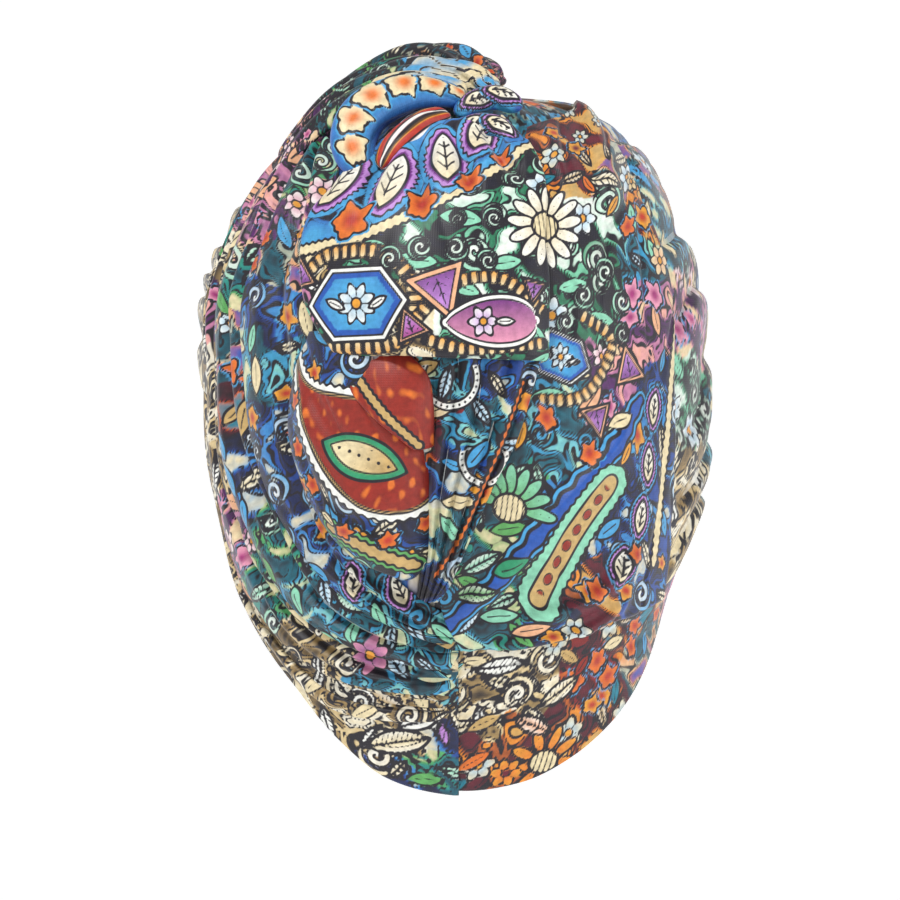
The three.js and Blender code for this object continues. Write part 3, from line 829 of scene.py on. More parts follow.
def strew(cloth, anchors, zone, seed, gap):
    """Small motifs on a shaken lattice, of the kinds that the ground beneath them has."""
    rng = np.random.default_rng([SEED, 500 + seed])
    low, high = cloth.cloth.min(0), cloth.cloth.max(0)
    for x in np.arange(low[0], high[0] + gap, gap):
        for y in np.arange(low[1], high[1] + gap, gap):
            centre = np.array([x, y]) + rng.uniform(-0.3, 0.3, 2) * gap
            size, angle, pick = gap * rng.uniform(0.34, 0.6), rng.uniform(0, 360), rng.uniform()
            offset = np.abs(cloth.cloth - centre).max(1)
            nearest = np.argmin(offset)
            if offset[nearest] > 1.5:
                continue
            kinds = STREWN[anchors[zone[nearest]][2]]
            kind, dyes = kinds[int(pick * len(kinds))]
            MOTIFS[kind](cloth, centre, size, angle, **dyes)


def beside_path(cloth, path, nearest):
    """The points nearer than that to a path: their distance and side, and how far along it they are, in
    millimetres and as a share."""
    distance, side, along = path_distance(cloth.cloth, smooth_path(path, 24))
    index = np.nonzero(distance < nearest)[0]
    length = np.linalg.norm(np.diff(np.asarray(path, float), axis=0), axis=1).sum()
    return index, distance[index], side[index], along[index] * length, along[index]


def lay_band(cloth, path, half_width, dye, ripple=3.2, bite=0.35, edge_dye=None):
    """A wavy-edged band of one dye along a path on the cloth, outlined in ink."""
    index, distance, side, reach, along = beside_path(cloth, path, half_width + 2.5)
    wavy = bite * np.cos(2 * np.pi * reach / ripple)
    if edge_dye:
        cloth.fill(index, distance - half_width - 1.7 + wavy, edge_dye, LINE * 0.7)
    cloth.fill(index, distance - half_width + wavy, dye)


def lay_beads(cloth, path, half_width, dye, pitch=3.4):
    """A row of upright beads on a dark band along a path."""
    index, distance, side, reach, along = beside_path(cloth, path, half_width + 2)
    cloth.fill(index, distance - half_width, "ink", 0)
    p = np.stack([distance * side, np.mod(reach, pitch) - pitch / 2], 1)
    beads = capsule(p, half_width * 0.45, pitch * 0.3)
    ends = np.where((along > 0.005) & (along < 0.995), beads, FAR)
    cloth.fill(index, ends, blend(0.5 + 0.5 * p[:, 0] / half_width, dye, "amber"), LINE * 0.5)


def inside_outline(places, outline):
    """Distance from a closed outline, negative inside it, and how far along it each place is."""
    ring = smooth_path(np.concatenate([outline, outline[:1]]), 60)
    distance, side, along = path_distance(places, ring)
    turn = np.sign(np.sum(np.cross(ring[:-1], ring[1:])))
    return -distance * side * turn, along


# ---- The cloth's material -----------------------------------------------------------------------
def add_node(tree, kind, settings=None, links=None):
    """Adds a node, sets its properties and input values, and links its inputs from outputs."""
    node = tree.nodes.new(kind)
    for key, value in (settings or {}).items():
        if isinstance(key, str) and hasattr(node, key):
            setattr(node, key, value)
        else:
            node.inputs[key].default_value = value
    for key, output in (links or {}).items():
        tree.links.new(output, node.inputs[key])
    return node


WEAVE_PITCH = 0.8  # millimetres between rows of knit loops, drawn coarser than life so that they show
WEAVE_HEIGHT = 0.12
MOTTLE_PITCH = 2.2  # millimetres between the paler and darker flecks of the dye
WAVE_SCALE = 0.314  # the wave texture's scale for one band in each unit of length


def printed_satin_jersey():
    """Satin jersey, transfer printed: the dye sits in the yarn, so the ink lines are crisp but not
    glossy, the dyes are slightly uneven, and the filament yarn gives a soft, silky sheen on folds."""
    material = bpy.data.materials.new("printed_satin_jersey")
    material.use_nodes = True
    tree = material.node_tree
    shader = tree.nodes["Principled BSDF"]
    dye = add_node(tree, "ShaderNodeAttribute", {"attribute_name": "dye"})
    ink = add_node(tree, "ShaderNodeAttribute", {"attribute_name": "ink"})
    weave = add_node(tree, "ShaderNodeAttribute", {"attribute_name": "weave"})
    drawn = add_node(
        tree, "ShaderNodeMapRange", {1: -0.10, 2: 0.12, 3: 1.0, 4: 0.0}, {0: ink.outputs["Fac"]}
    )
    mottle = add_node(
        tree, "ShaderNodeTexNoise", {"Scale": 1 / (MOTTLE_PITCH * MM), "Detail": 3.0},
        {0: weave.outputs["Vector"]},
    )
    uneven = add_node(
        tree, "ShaderNodeMapRange", {1: 0.3, 2: 0.7, 3: 0.8, 4: 1.12}, {0: mottle.outputs[0]}
    )
    dyed = add_node(
        tree, "ShaderNodeVectorMath", {"operation": "SCALE"},
        {0: dye.outputs["Color"], "Scale": uneven.outputs[0]},
    )
    inked = add_node(
        tree, "ShaderNodeMix", {"data_type": "RGBA", 7: (*DYES["ink"], 1)},
        {0: drawn.outputs[0], 6: dyed.outputs[0]},
    )
    tree.links.new(inked.outputs[2], shader.inputs["Base Color"])

    rows = []
    for direction in ("X", "Y"):
        rows.append(add_node(
            tree, "ShaderNodeTexWave",
            {"bands_direction": direction, "Scale": WAVE_SCALE / (WEAVE_PITCH * MM), "Distortion": 0.6},
            {0: weave.outputs["Vector"]},
        ))
    loops = add_node(
        tree, "ShaderNodeMath", {"operation": "MULTIPLY"},
        {0: rows[0].outputs["Fac"], 1: rows[1].outputs["Fac"]},
    )
    bump = add_node(
        tree, "ShaderNodeBump", {"Strength": 0.35, "Distance": WEAVE_HEIGHT * MM},
        {"Height": loops.outputs[0]},
    )
    tree.links.new(bump.outputs[0], shader.inputs["Normal"])
    shader.inputs["Roughness"].default_value = 0.48
    shader.inputs["Specular IOR Level"].default_value = 0.35
    shader.inputs["Sheen Weight"].default_value = 0.18
    shader.inputs["Sheen Roughness"].default_value = 0.4
    return material


# ---- Making the pieces --------------------------------------------------------------------------
JERSEY = printed_satin_jersey()


def finish_piece(piece, node):
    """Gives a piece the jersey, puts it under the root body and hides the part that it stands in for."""
    piece.data.materials.append(JERSEY)
    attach(piece, "root")
    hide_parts(node)


def grid_area(grid):
    """The sum of each step across times the step up from the same point."""
    across, up = np.diff(grid[:-1], axis=1), np.diff(grid[:, :-1], axis=0)
    return np.linalg.norm(np.cross(across, up), axis=-1).sum()


def flat_cut(grid):
    """The width, length and area in metres of the cloth that covers a grid of points without folds."""
    width = np.linalg.norm(np.diff(grid, axis=1), axis=-1).sum(1).max() * MM
    length = np.linalg.norm(np.diff(grid, axis=0), axis=-1).sum(0).max() * MM
    return (width, length), min(grid_area(grid) * MM**2, width * length)


def cloth_strip(
    node, rows, spacing, relief, rolls, seed, anchors, artwork,
    radius=1.3, middle=0.0,
):
    """A strip laid over the cap and printed. The size and area of its cut, the strip without folds, are
    worked out."""
    outer, cloth = strip_surface(rows, spacing, relief, rolls, radius, middle)
    dyes = Print(cloth)
    lay_ground(dyes, anchors, seed)
    artwork(dyes)
    piece = wall_object(node + "_cloth", outer, *dyes.results(), cloth)
    (width, length), area = flat_cut(strip_surface(rows, CUT_SPACING, no_relief, rolls, radius, middle)[0])
    finish_piece(piece, node)


def cloth_roll(node, rows, facing, spacing, seed, anchors, artwork, pleats, depth, twist):
    """A twist of gathered cloth, printed."""
    grid, ends_at, cloth = roll_surface(rows, facing, spacing, pleats, depth, twist)
    dyes = Print(cloth)
    lay_ground(dyes, anchors, seed, strew_gap=8.5, doodle=10.0)
    if artwork:
        artwork(dyes)
    piece = roll_object(node + "_cloth", grid, ends_at, *dyes.results(), cloth)
    finish_piece(piece, node)


def wrinkles(across, along, width, length, depth, seed):
    """Long shallow folds with narrow valleys between them, one width apart and one length long."""
    field = random_field(np.stack([across / width, along / length], -1), 2.0, seed)
    return depth * (0.35 * field - np.exp(-((field / 0.4) ** 2)))


def knife_pleats(share, height, lean=0.78):
    """A pleat for each unit of share: a slow rise to a rounded edge, then a short drop."""
    phase = np.mod(share, 1.0)
    rise = np.minimum(phase / lean, (1 - phase) / (1 - lean))
    return height * np.sin(0.5 * np.pi * np.clip(rise, 0, 1))


def draw_all(dyes, table, to_cloth):
    """Draws each motif of a table: kind, x or turn, height, size, angle, and its dyes if it has its own."""
    for kind, x, height, size, angle, *own in table:
        MOTIFS[kind](dyes, to_cloth(x, height), size, angle, **(own[0] if own else {}))


def zones(table, to_cloth):
    """A table of zones, x or turn, height and ground, as places on the cloth."""
    return [(*to_cloth(x, height), ground) for x, height, ground in table]


def by_turn(middle):
    return lambda turn, height: cloth_place(turn, height, middle)


def by_x(x, height):
    """The place on the cloth of what stands at this x and height, seen from behind."""
    return cloth_place(seen_from_behind(x, height), height)


def path_by_x(path):
    return np.array([by_x(x, height) for x, height in path])


# ---- The panel over the crown's right side ------------------------------------------------------
# Each piece has a table of its rows, as strip_surface takes them, then one of the print's zones (x or
# turn, height, ground) and one of its large motifs (kind, x or turn, height, size, angle, any dyes).
CROWN_PANEL = [
    [2, 53, 65, 72, 4.0, 9, 7.0],
    [-3, 67, 63, 88, 3.0, 7.5, 5],
    [-4, 86, 60, 108, 3.4, 6.4, 4.4],
    [2, 108, 58, 130, 3.4, 5.6, 4.4],
    [9, 136, 58, 158, 3.4, 5.0, 4.4],
    [15, 166, 59, 186, 3.4, 4.8, 4.4],
    [15, 198, 58, 210, 3.4, 4.8, 4.6],
    [15, 219, 58, 226, 3.6, 5.2, 5],
    [24, 234, 64, 242, 3.6, 5.5, 6],
]
CROWN_ZONES = [
    (60, 218, "fair"), (45, 224, "ember"), (70, 205, "ember"), (66, 190, "sea"), (52, 196, "night"),
    (50, 178, "night"), (38, 172, "night"), (70, 172, "rose"), (60, 150, "rose"), (52, 138, "rose"),
    (34, 150, "sea"), (28, 132, "sea"), (44, 128, "sea"), (68, 140, "deep"), (66, 115, "deep"),
    (22, 112, "garden"), (18, 96, "garden"), (10, 84, "garden"), (40, 96, "deep"), (28, 76, "garden"),
    (48, 72, "ember"), (30, 60, "deep"), (14, 64, "garden"), (60, 76, "deep"), (6, 58, "sea"),
]
CROWN_MOTIFS = [
    ("flower", 64, 216, 5, 10, {"body": "cream", "shade": "tan"}),
    ("flame", 62, 200, 6.5, 40), ("flame", 70, 210, 5, 90, {"body": "amber"}),
    ("blade", 55, 206, 5, 60, {"body": "amber"}), ("blade", 48, 214, 5, 130, {"body": "orange"}),
    ("flame", 44, 226, 6, 0, {"body": "amber", "heart": "maroon"}),
    ("flower", 73, 188, 6.5, 0, {"body": "cream", "heart": "amber", "shade": "peach"}),
    ("curl", 54, 184, 5.5, 30), ("curl", 60, 174, 5.5, 120), ("curl", 46, 176, 5, 200),
    ("curl", 60, 163, 4.5, 80, {"body": "emerald"}),
    ("daisy", 32, 199, 15, 10, {"petals": 13}),
    ("cartouche", 38, 155, 10.5, -20),
    ("branch", 62, 151, 9, 10), ("branch", 50, 134, 8, 190),
    ("blade", 58, 133, 6, 20, {"body": "cream"}),
    ("flame", 33, 134, 6.5, 120, {"body": "orange"}), ("flame", 47, 122, 6, 60),
    ("blade", 24, 128, 5.5, 70, {"body": "amber"}), ("blade", 58, 122, 5, 60, {"body": "amber"}),
    ("leaf", 71, 137, 6.5, 70), ("leaf", 68, 118, 6.5, 85),
    ("leaf", 65, 100, 6.5, 75), ("leaf", 57, 84, 6, 60),
    ("daisy", 20, 103, 15, -10, {"petals": 8, "body": "mint", "shade": "leaf", "spread": 190.0}),
    ("pod", 41, 93, 31, 55),
    ("flame", 62, 88, 5, 30, {"body": "orange"}), ("flame", 48, 76, 5.5, 70, {"body": "orange"}),
    ("feather", 10, 84, 8, 30, {"body": "mint"}), ("feather", 8, 74, 8, 15, {"body": "leaf"}),
    ("blade", 20, 84, 7, 25, {"body": "emerald"}), ("blade", 16, 66, 7, 10, {"body": "mint"}),
    ("blade", 26, 62, 7, 20, {"body": "peach"}), ("flower", 40, 62, 6, 0, {"body": "cream"}),
    ("flame", 50, 62, 5, 10, {"body": "orange", "heart": "maroon"}),
]


# The fold that runs down across the panel to the seam, seen from behind.
RIDGE = [(66, 140), (51, 120), (36, 104), (19, 83), (-4, 59)]


# The folds of the panel and of the drape: path seen from behind, height, width to its left and right.
CROWN_FOLDS = [
    (RIDGE, 4.6, 10, 2.6),
    ([(42, 244), (53, 218), (53, 196)], 3.0, 9, 2.4),
    ([(28, 236), (40, 214), (41, 196)], 2.0, 7, 2.4),
    ([(66, 92), (46, 73), (18, 63)], 4.0, 6, 2.8),
    ([(62, 78), (42, 61), (8, 53)], 3.6, 4, 2.4),
    ([(30, 90), (20, 75), (4, 61)], -2.6, 3, 3),
]
DRAPE_FOLDS = [
    ([(-50, 150), (-36, 128), (-16, 108)], -2.4, 3.4, 3.4),
    ([(-54, 132), (-40, 108), (-14, 94)], -2.6, 3.4, 3.4),
    ([(-52, 142), (-42, 116), (-20, 99)], 1.8, 5, 5),
]


def creases(cloth, table, fade=0.2):
    """All the folds of a table, added up."""
    return sum(crease(cloth, path_by_x(path), *sizes, fade) for path, *sizes in table)


def crown_relief(cloth, up, across):
    """The panel's folds on shallow upright wrinkles."""
    return creases(cloth, CROWN_FOLDS) + wrinkles(cloth[..., 0], cloth[..., 1], 17, 40, 0.7, 21)


def crown_print_and_ridge_shading(dyes):
    """A cream border, a blue band along the long fold that is painted shade along the ridge with painted
    highlight at its sky edges, in the print's blues, beads round the hexagon, and the motifs.
    """
    lay_band(dyes, path_by_x([(80, 170), (77, 140), (74, 110), (70, 84)]), 2.0, "cream")
    # painted shade and highlight along the ridge: a royal band with sky edges, laid on the fold so that it
    # shows
    lay_band(dyes, path_by_x(RIDGE), 2.2, "royal", 9.0, 0.4, "sky")
    lay_beads(dyes, path_by_x([(30, 140), (46, 142), (56, 160), (44, 170)]), 2.4, "cream")
    draw_all(dyes, CROWN_MOTIFS, by_x)


# ---- The side panels ----------------------------------------------------------------------------
SIDE_RIGHT = [
    [61, 66, 180.6, 188, 1.8, 5, 3.6],
    [59, 88, 180.6, 194, 1.8, 5, 3.6],
    [56, 108, 180.6, 200, 1.6, 4.6, 3.6],
    [54, 130, 180.6, 207, 1.6, 4.2, 3.6],
    [54, 158, 180.6, 214, 1.6, 4, 3.6],
    [55, 186, 180.6, 222, 1.6, 4, 3.6],
    [54, 210, 180.6, 230, 1.6, 4, 3.6],
    [54, 226, 180, 238, 1.8, 4, 3.6],
    [60, 242, 180, 247.5, 2.4, 4, 3.6],
]
SIDE_RIGHT_ZONES = [
    (70, 200, "sea"), (75, 170, "rose"), (72, 140, "night"), (72, 112, "chalk"), (78, 90, "chalk"),
    (90, 215, "ember"), (95, 190, "deep"), (95, 160, "chalk"), (95, 130, "sea"), (110, 230, "night"),
    (115, 205, "fair"), (120, 180, "rose"), (118, 158, "garden"), (135, 238, "ember"),
    (140, 215, "sea"), (145, 195, "night"), (160, 235, "chalk"), (165, 215, "fair"), (172, 200, "sea"),
    (75, 225, "fair"), (85, 238, "deep"), (150, 175, "wine"), (130, 165, "deep"),
]
SIDE_RIGHT_MOTIFS = [
    ("drop", 84, 168, 11, 90), ("curl", 74, 184, 5, 0), ("curl", 76, 152, 5, 90),
    ("curl", 75, 132, 5, 40), ("feather", 80, 118, 9, 80), ("feather", 76, 98, 9, 70),
    ("leaf", 96, 205, 7, 20), ("leaf", 104, 180, 7, 60), ("daisy", 112, 205, 13, 0),
    ("cartouche", 128, 190, 12, 30), ("pod", 100, 150, 18, 70), ("leaf", 140, 214, 7, 10),
    ("flame", 90, 226, 7, 30), ("daisy", 160, 205, 12, 0), ("feather", 92, 112, 9, 60),
    ("leaf", 150, 192, 7, 40), ("drop", 122, 226, 10, 10, {"body": "sky", "deep": "navy"}),
]
SIDE_LEFT = [
    [-180.6, 188, -71.5, 140, 3.2, 3.4, 1.2],
    [-180.6, 198, -70.5, 170, 3.2, 3.4, 1.2],
    [-180.6, 209, -70, 184, 3.2, 3.4, 1.2],
    [-180.6, 220, -69.5, 200, 3.2, 3.2, 1.2],
    [-180.6, 232, -70, 217, 3.2, 3.0, 1.4],
    [-180, 246, -64, 234, 3.0, 2.8, 1.6],
]
SIDE_LEFT_ZONES = [
    (-80, 225, "rose"), (-85, 205, "chalk"), (-84, 180, "chalk"), (-84, 150, "chalk"),
    (-100, 230, "garden"), (-105, 210, "rose"), (-104, 190, "night"), (-102, 165, "fair"),
    (-122, 236, "fair"), (-125, 215, "chalk"), (-126, 195, "sea"), (-145, 235, "sea"),
    (-148, 215, "wine"), (-150, 198, "chalk"), (-165, 240, "rose"), (-170, 215, "night"),
    (-172, 198, "sea"), (-75, 236, "deep"),
]
SIDE_LEFT_MOTIFS = [
    ("feather", -84, 210, 9, 80), ("feather", -84, 188, 9, 70), ("leaf", -100, 222, 7, 30),
    ("daisy", -108, 200, 13, 0), ("cartouche", -130, 205, 12, -20),
    ("leaf", -118, 180, 7, 60), ("flame", -95, 240, 6, 0), ("drop", -150, 210, 10, 20),
    ("feather", -82, 160, 8, 80), ("leaf", -160, 230, 7, 0), ("daisy", -168, 208, 11, 0),
]


def side_relief(cloth, up, across):
    """Level knife pleats that drift up and down as they go round, and fade out at the outer edge."""
    drift = 0.22 * np.sin(2.2 * across + 0.6) + 0.05 * random_field(cloth, 70, 31)
    outer_fade = np.clip(across * 9, 0, 1)
    pleated = (knife_pleats(up * 6.3 + drift * 4, 3.2) - 1.9) * outer_fade * np.clip((1 - up) * 12, 0, 1)
    return pleated + wrinkles(cloth[..., 1] - cloth[..., 0] * 0.3, cloth[..., 0], 13, 60, 0.4, 33)


def left_side_relief(cloth, up, across):
    """The right side's pleats, the other way round."""
    return side_relief(cloth * (-1, 1), up, 1 - across)


# ---- The folds on the left, fanning out from the seam -------------------------------------------
# The edges between the folds, from right to left: turn and height of each row from the seam upwards.
FOLD_EDGES = np.array([
    [(-1, 63), (-8, 67), (-18, 77), (-28, 93), (-33, 115), (-35, 140), (-34, 165), (-33, 185), (-33, 203),
     (-40, 218), (-50, 230)],
    [(0, 55), (-8, 57), (-24, 67), (-38, 83), (-47, 104), (-52, 130), (-54, 156), (-54, 178), (-52, 198),
     (-54, 214), (-60, 231)],
    [(0, 47), (-8, 47), (-28, 54), (-46, 68), (-57, 90), (-64, 118), (-65, 148), (-65, 174), (-64, 198),
     (-67, 216), (-70, 232)],
    [(0, 39), (-8, 37), (-32, 42), (-54, 56), (-70, 78), (-75, 108), (-74, 140), (-73, 170), (-72, 198),
     (-78, 218), (-81, 233)],
    [(0, 31), (-8, 27), (-35, 31), (-60, 52), (-90, 84), (-86, 126), (-82, 150), (-80, 174), (-79, 198),
     (-86, 218), (-93, 234)],
])
FOLD_ZONES = {
    1: [(-22, 74, "sea"), (-40, 90, "deep"), (-50, 110, "deep"), (-58, 132, "deep"), (-60, 150, "sea"),
        (-58, 172, "deep"), (-56, 190, "fair"), (-54, 206, "rose"), (-58, 216, "garden"), (-8, 58, "sea")],
    2: [(-20, 60, "sea"), (-46, 74, "sea"), (-60, 96, "garden"), (-70, 118, "deep"), (-72, 140, "wine"),
        (-72, 160, "fair"), (-70, 180, "garden"), (-66, 198, "rose"), (-62, 212, "rose"),
        (-8, 50, "sea")],
    3: [(-20, 48, "sea"), (-48, 58, "chalk"), (-64, 78, "garden"), (-76, 100, "rose"), (-80, 120, "chalk"),
        (-80, 145, "chalk"), (-78, 168, "rose"), (-74, 188, "chalk"), (-68, 206, "rose"),
        (-8, 42, "sea")],
    4: [(-20, 36, "chalk"), (-50, 46, "chalk"), (-72, 76, "chalk"), (-86, 100, "chalk"),
        (-90, 130, "chalk"), (-89, 160, "chalk"), (-86, 180, "chalk"), (-80, 200, "garden"),
        (-8, 34, "chalk")],
}
FOLD_RISES = {1: 0.65, 2: 0.85, 3: 0.45, 4: -0.1}  # how far each fold stands out, away from the seam
PINK_FLOWER = {"petals": 6, "body": "pink", "shade": "purple", "heart": "amber"}
FOLD_MOTIFS = {
    1: [("leaf", -35, 77, 6.5, 100), ("leaf", -19, 74, 6.5, 120), ("flame", -36, 150, 6, 80),
        ("flame", -57, 128, 6, 100), ("flame", -50, 186, 6, 60),
        ("blade", -52, 168, 7, 100, {"body": "cream"}), ("flame", -50, 112, 5, 60, {"body": "amber"}),
        ("blade", -44, 100, 6, 120, {"body": "sky"}), ("flame", -55, 198, 5, 20, {"body": "amber"})],
    2: [("flower", -29, 51, 8.5, 20, PINK_FLOWER), ("blade", -64, 158, 7, 100, {"body": "pink"}),
        ("flame", -69, 140, 6, 60),
        ("flame", -66, 126, 6, 100, {"body": "amber"}), ("blade", -62, 114, 8, 110, {"body": "peach"}),
        ("flame", -68, 172, 6, 30, {"body": "amber"}), ("blade", -54, 92, 7, 130, {"body": "maroon"}),
        ("blade", -50, 200, 7, 80, {"body": "magenta"}), ("feather", -36, 70, 8, 150, {"body": "mint"})],
    3: [("flower", -29, 51, 8.5, 20, PINK_FLOWER), ("feather", -80, 160, 9, 95),
        ("blade", -74, 118, 7, 110, {"body": "pink"}),
        ("blade", -70, 104, 6, 120, {"body": "magenta"}), ("feather", -62, 86, 8, 130),
        ("blade", -66, 178, 6, 90, {"body": "mint"}), ("flower", -62, 196, 5, 0, {"shade": "pink"}),
        ("feather", -46, 66, 8, 150, {"body": "white"})],
    4: [("feather", -89, 170, 9, 95), ("feather", -90, 150, 9, 90, {"body": "white"}),
        ("feather", -88, 126, 9, 80), ("feather", -84, 104, 9, 110, {"body": "white"}),
        ("feather", -76, 84, 9, 120), ("feather", -60, 62, 9, 140, {"body": "white"}),
        ("curl", -70, 72, 6, 0, {"body": "cream"})],
}


def fold_rows(number):
    """Sections of one fold. It tucks under its right neighbour and its left edge lies over the next."""
    tuck = (3.0, 0)
    left, right = FOLD_EDGES[number], FOLD_EDGES[number - 1] + tuck
    seam = np.minimum(np.arange(len(left)) / 2, 1)
    raised = FOLD_RISES[number] * seam
    lifts = np.stack([2.2 + 2.6 * raised, 3.0 + 5.0 * raised, 0.9 + 0.2 * seam], 1)
    return np.concatenate([left, right, lifts], 1)


def fold_relief(number):
    """A wandering valley along the fold's middle, and small wrinkles along it."""
    def relief(cloth, up, across):
        wander = across + 0.10 * np.sin(7 * up + number) + 0.05 * np.sin(17 * up + 2 * number)
        valley = -4.2 * np.exp(-(((wander - 0.45) / 0.10) ** 2)) * np.clip(up * 5, 0, 1)
        small = wrinkles(across * 22, up * 200, 9, 55, 1.3, 40 + number)
        return (valley + small - 0.6) * np.clip(np.minimum(across * 5, (1 - across) * 5), 0, 1)
    return relief


# ---- The drape, its fold and the gather beside it -----------------------------------------------
DRAPE = [
    [-16, 79, -10, 78, 1.5, 6, 1.5],
    [-27, 86, -6, 85, 2.5, 12, 2.5],
    [-33.5, 98, -5.5, 97, 3, 15, 3],
    [-38, 115, -6, 114, 3, 15.5, 3],
    [-40, 133, -7, 128, 3, 14, 3],
    [-38, 148, -10, 146, 3.4, 11.5, 4],
    [-33, 164, -14, 164, 3.6, 9, 5],
]
DRAPE_ZONES = [
    (-40, 150, "deep"), (-52, 130, "deep"), (-46, 110, "deep"), (-30, 96, "deep"), (-12, 96, "deep"),
    (-24, 130, "wine"), (-16, 150, "wine"), (-34, 86, "garden"),
]
DRAPE_FOLD = [
    [-8.4, 124, -4.6, 125, 9, 8, 5],
    [-15, 134, -4.6, 138, 13.2, 11.5, 5.5],
    [-22, 146, -6, 149, 10.6, 10.4, 6],
    [-26, 157, -11, 158, 6, 6.6, 5],
]
GATHER = [
    [-9.5, 72, -4.5, 70, 3, 7.6, 4],
    [-8, 86, 0, 82, 3, 8, 6.2],
    [-8, 104, 7, 107, 3, 8, 6.6],
    [-7.5, 122, 13, 126, 3, 7.8, 6.6],
    [-7, 140, 17, 146, 3, 7.6, 6.6],
    [-9, 160, 20, 163, 3, 7.4, 6.6],
]
GATHER_ZONES = [
    (-2, 76, "deep"), (0, 96, "sea"), (2, 116, "deep"), (4, 136, "sea"), (20, 150, "deep"),
    (-8, 130, "wine"), (14, 130, "sea"),
]


def drape_relief(cloth, up, across):
    """The drape's folds on shallow slanting wrinkles."""
    soft = wrinkles(cloth[..., 0] + cloth[..., 1] * 0.7, cloth[..., 1], 12, 36, 0.5, 51)
    return creases(cloth, DRAPE_FOLDS) + soft


def red_field(dyes, outline, seed):
    """Brick red inside a closed outline, with orange flames and a white scalloped border."""
    scallops = 52
    signed, along = inside_outline(dyes.cloth, outline)
    index = np.nonzero(signed < 8)[0]
    signed, along = signed[index], along[index]
    ripple = 0.45 * np.cos(2 * np.pi * along * scallops)
    dyes.fill(index, signed - 3.0 + ripple, "white")
    dyes.fill(index, signed - 0.4, "tan", LINE * 0.7)
    flames = random_field(dyes.cloth[index] * (1.5, 0.7), 5.5, seed)
    dyes.fill(index, signed + 0.6, blend(flames - 0.95, "brick", "orange"), LINE * 0.5)


def drape_art(dyes):
    """The red field, a tan band below it, and the motifs."""
    red_field(dyes, path_by_x([(-55, 156), (-47, 145), (-36, 142), (-22, 139), (-8, 130), (-4, 118),
                               (-8, 106), (-18, 103), (-30, 108), (-42, 122), (-50, 140)]), 52)
    lay_band(dyes, path_by_x([(-40, 98), (-26, 91), (-12, 84)]), 2.2, "tan", 3.4, 0.35, "leaf")
    draw_all(dyes, [
        ("almond", -28, 121.5, 13, -22),
        ("flame", -53, 140, 5, 60), ("flame", -52, 124, 5, 90), ("flame", -46, 112, 5, 120),
        ("flame", -34, 97, 5, 0), ("flame", -20, 94, 5, 30), ("flame", -9, 98, 4.5, 60),
        ("blade", -40, 101, 4, 140, {"body": "cream"}),
    ], by_x)


def drape_fold_art(dyes):
    """Brick red with orange flames, and a tan band along the left edge."""
    dyes.dye[:] = blend(random_field(dyes.cloth * (1.4, 0.7), 5.5, 61) - 0.8, "brick", "orange")
    dyes.ink[:] = FAR
    lay_band(dyes, path_by_x([(-36, 160), (-31, 149), (-22, 137), (-11, 125)]), 1.5, "tan", 2.4, 0.2)


def gather_relief(cloth, up, across):
    """Five pleats up the gather, lowest at its foot where it is pinched."""
    fan = knife_pleats(across * 5 + 0.5 * up + 0.3 * np.sin(4 * up), 3.0, 0.52)
    fan = fan * np.clip(0.4 + 2.4 * up, 0, 1)
    small = wrinkles(across * 26, up * 90, 6, 40, 0.5, 71)
    return (fan + small - 1.8) * np.clip(np.minimum(across * 7, (1 - across) * 9), 0, 1)


def gather_art(dyes):
    """Two beaded white hoops, open at the top, and an orange line."""
    half_width, pitch = 1.3, 2.2
    for x, height, size in [(-1, 148, 10), (11, 120, 8)]:
        index, p = dyes.near(by_x(x, height), size * 1.4)
        edge = np.abs(np.hypot(p[:, 0], p[:, 1]) - size) - half_width
        dyes.fill(index, np.where(p[:, 1] < size * 0.4, edge, FAR), "white", LINE * 0.8)
        around = np.arctan2(p[:, 1], p[:, 0]) * size
        beads = np.hypot(np.mod(around, pitch) - pitch / 2, edge + half_width)
        dyes.draw(index, np.where((edge < 0) & (p[:, 1] < size * 0.4), beads, FAR), LINE)
    lay_band(dyes, path_by_x([(-6, 80), (4, 96), (16, 124), (24, 146)]), 0.9, "orange")


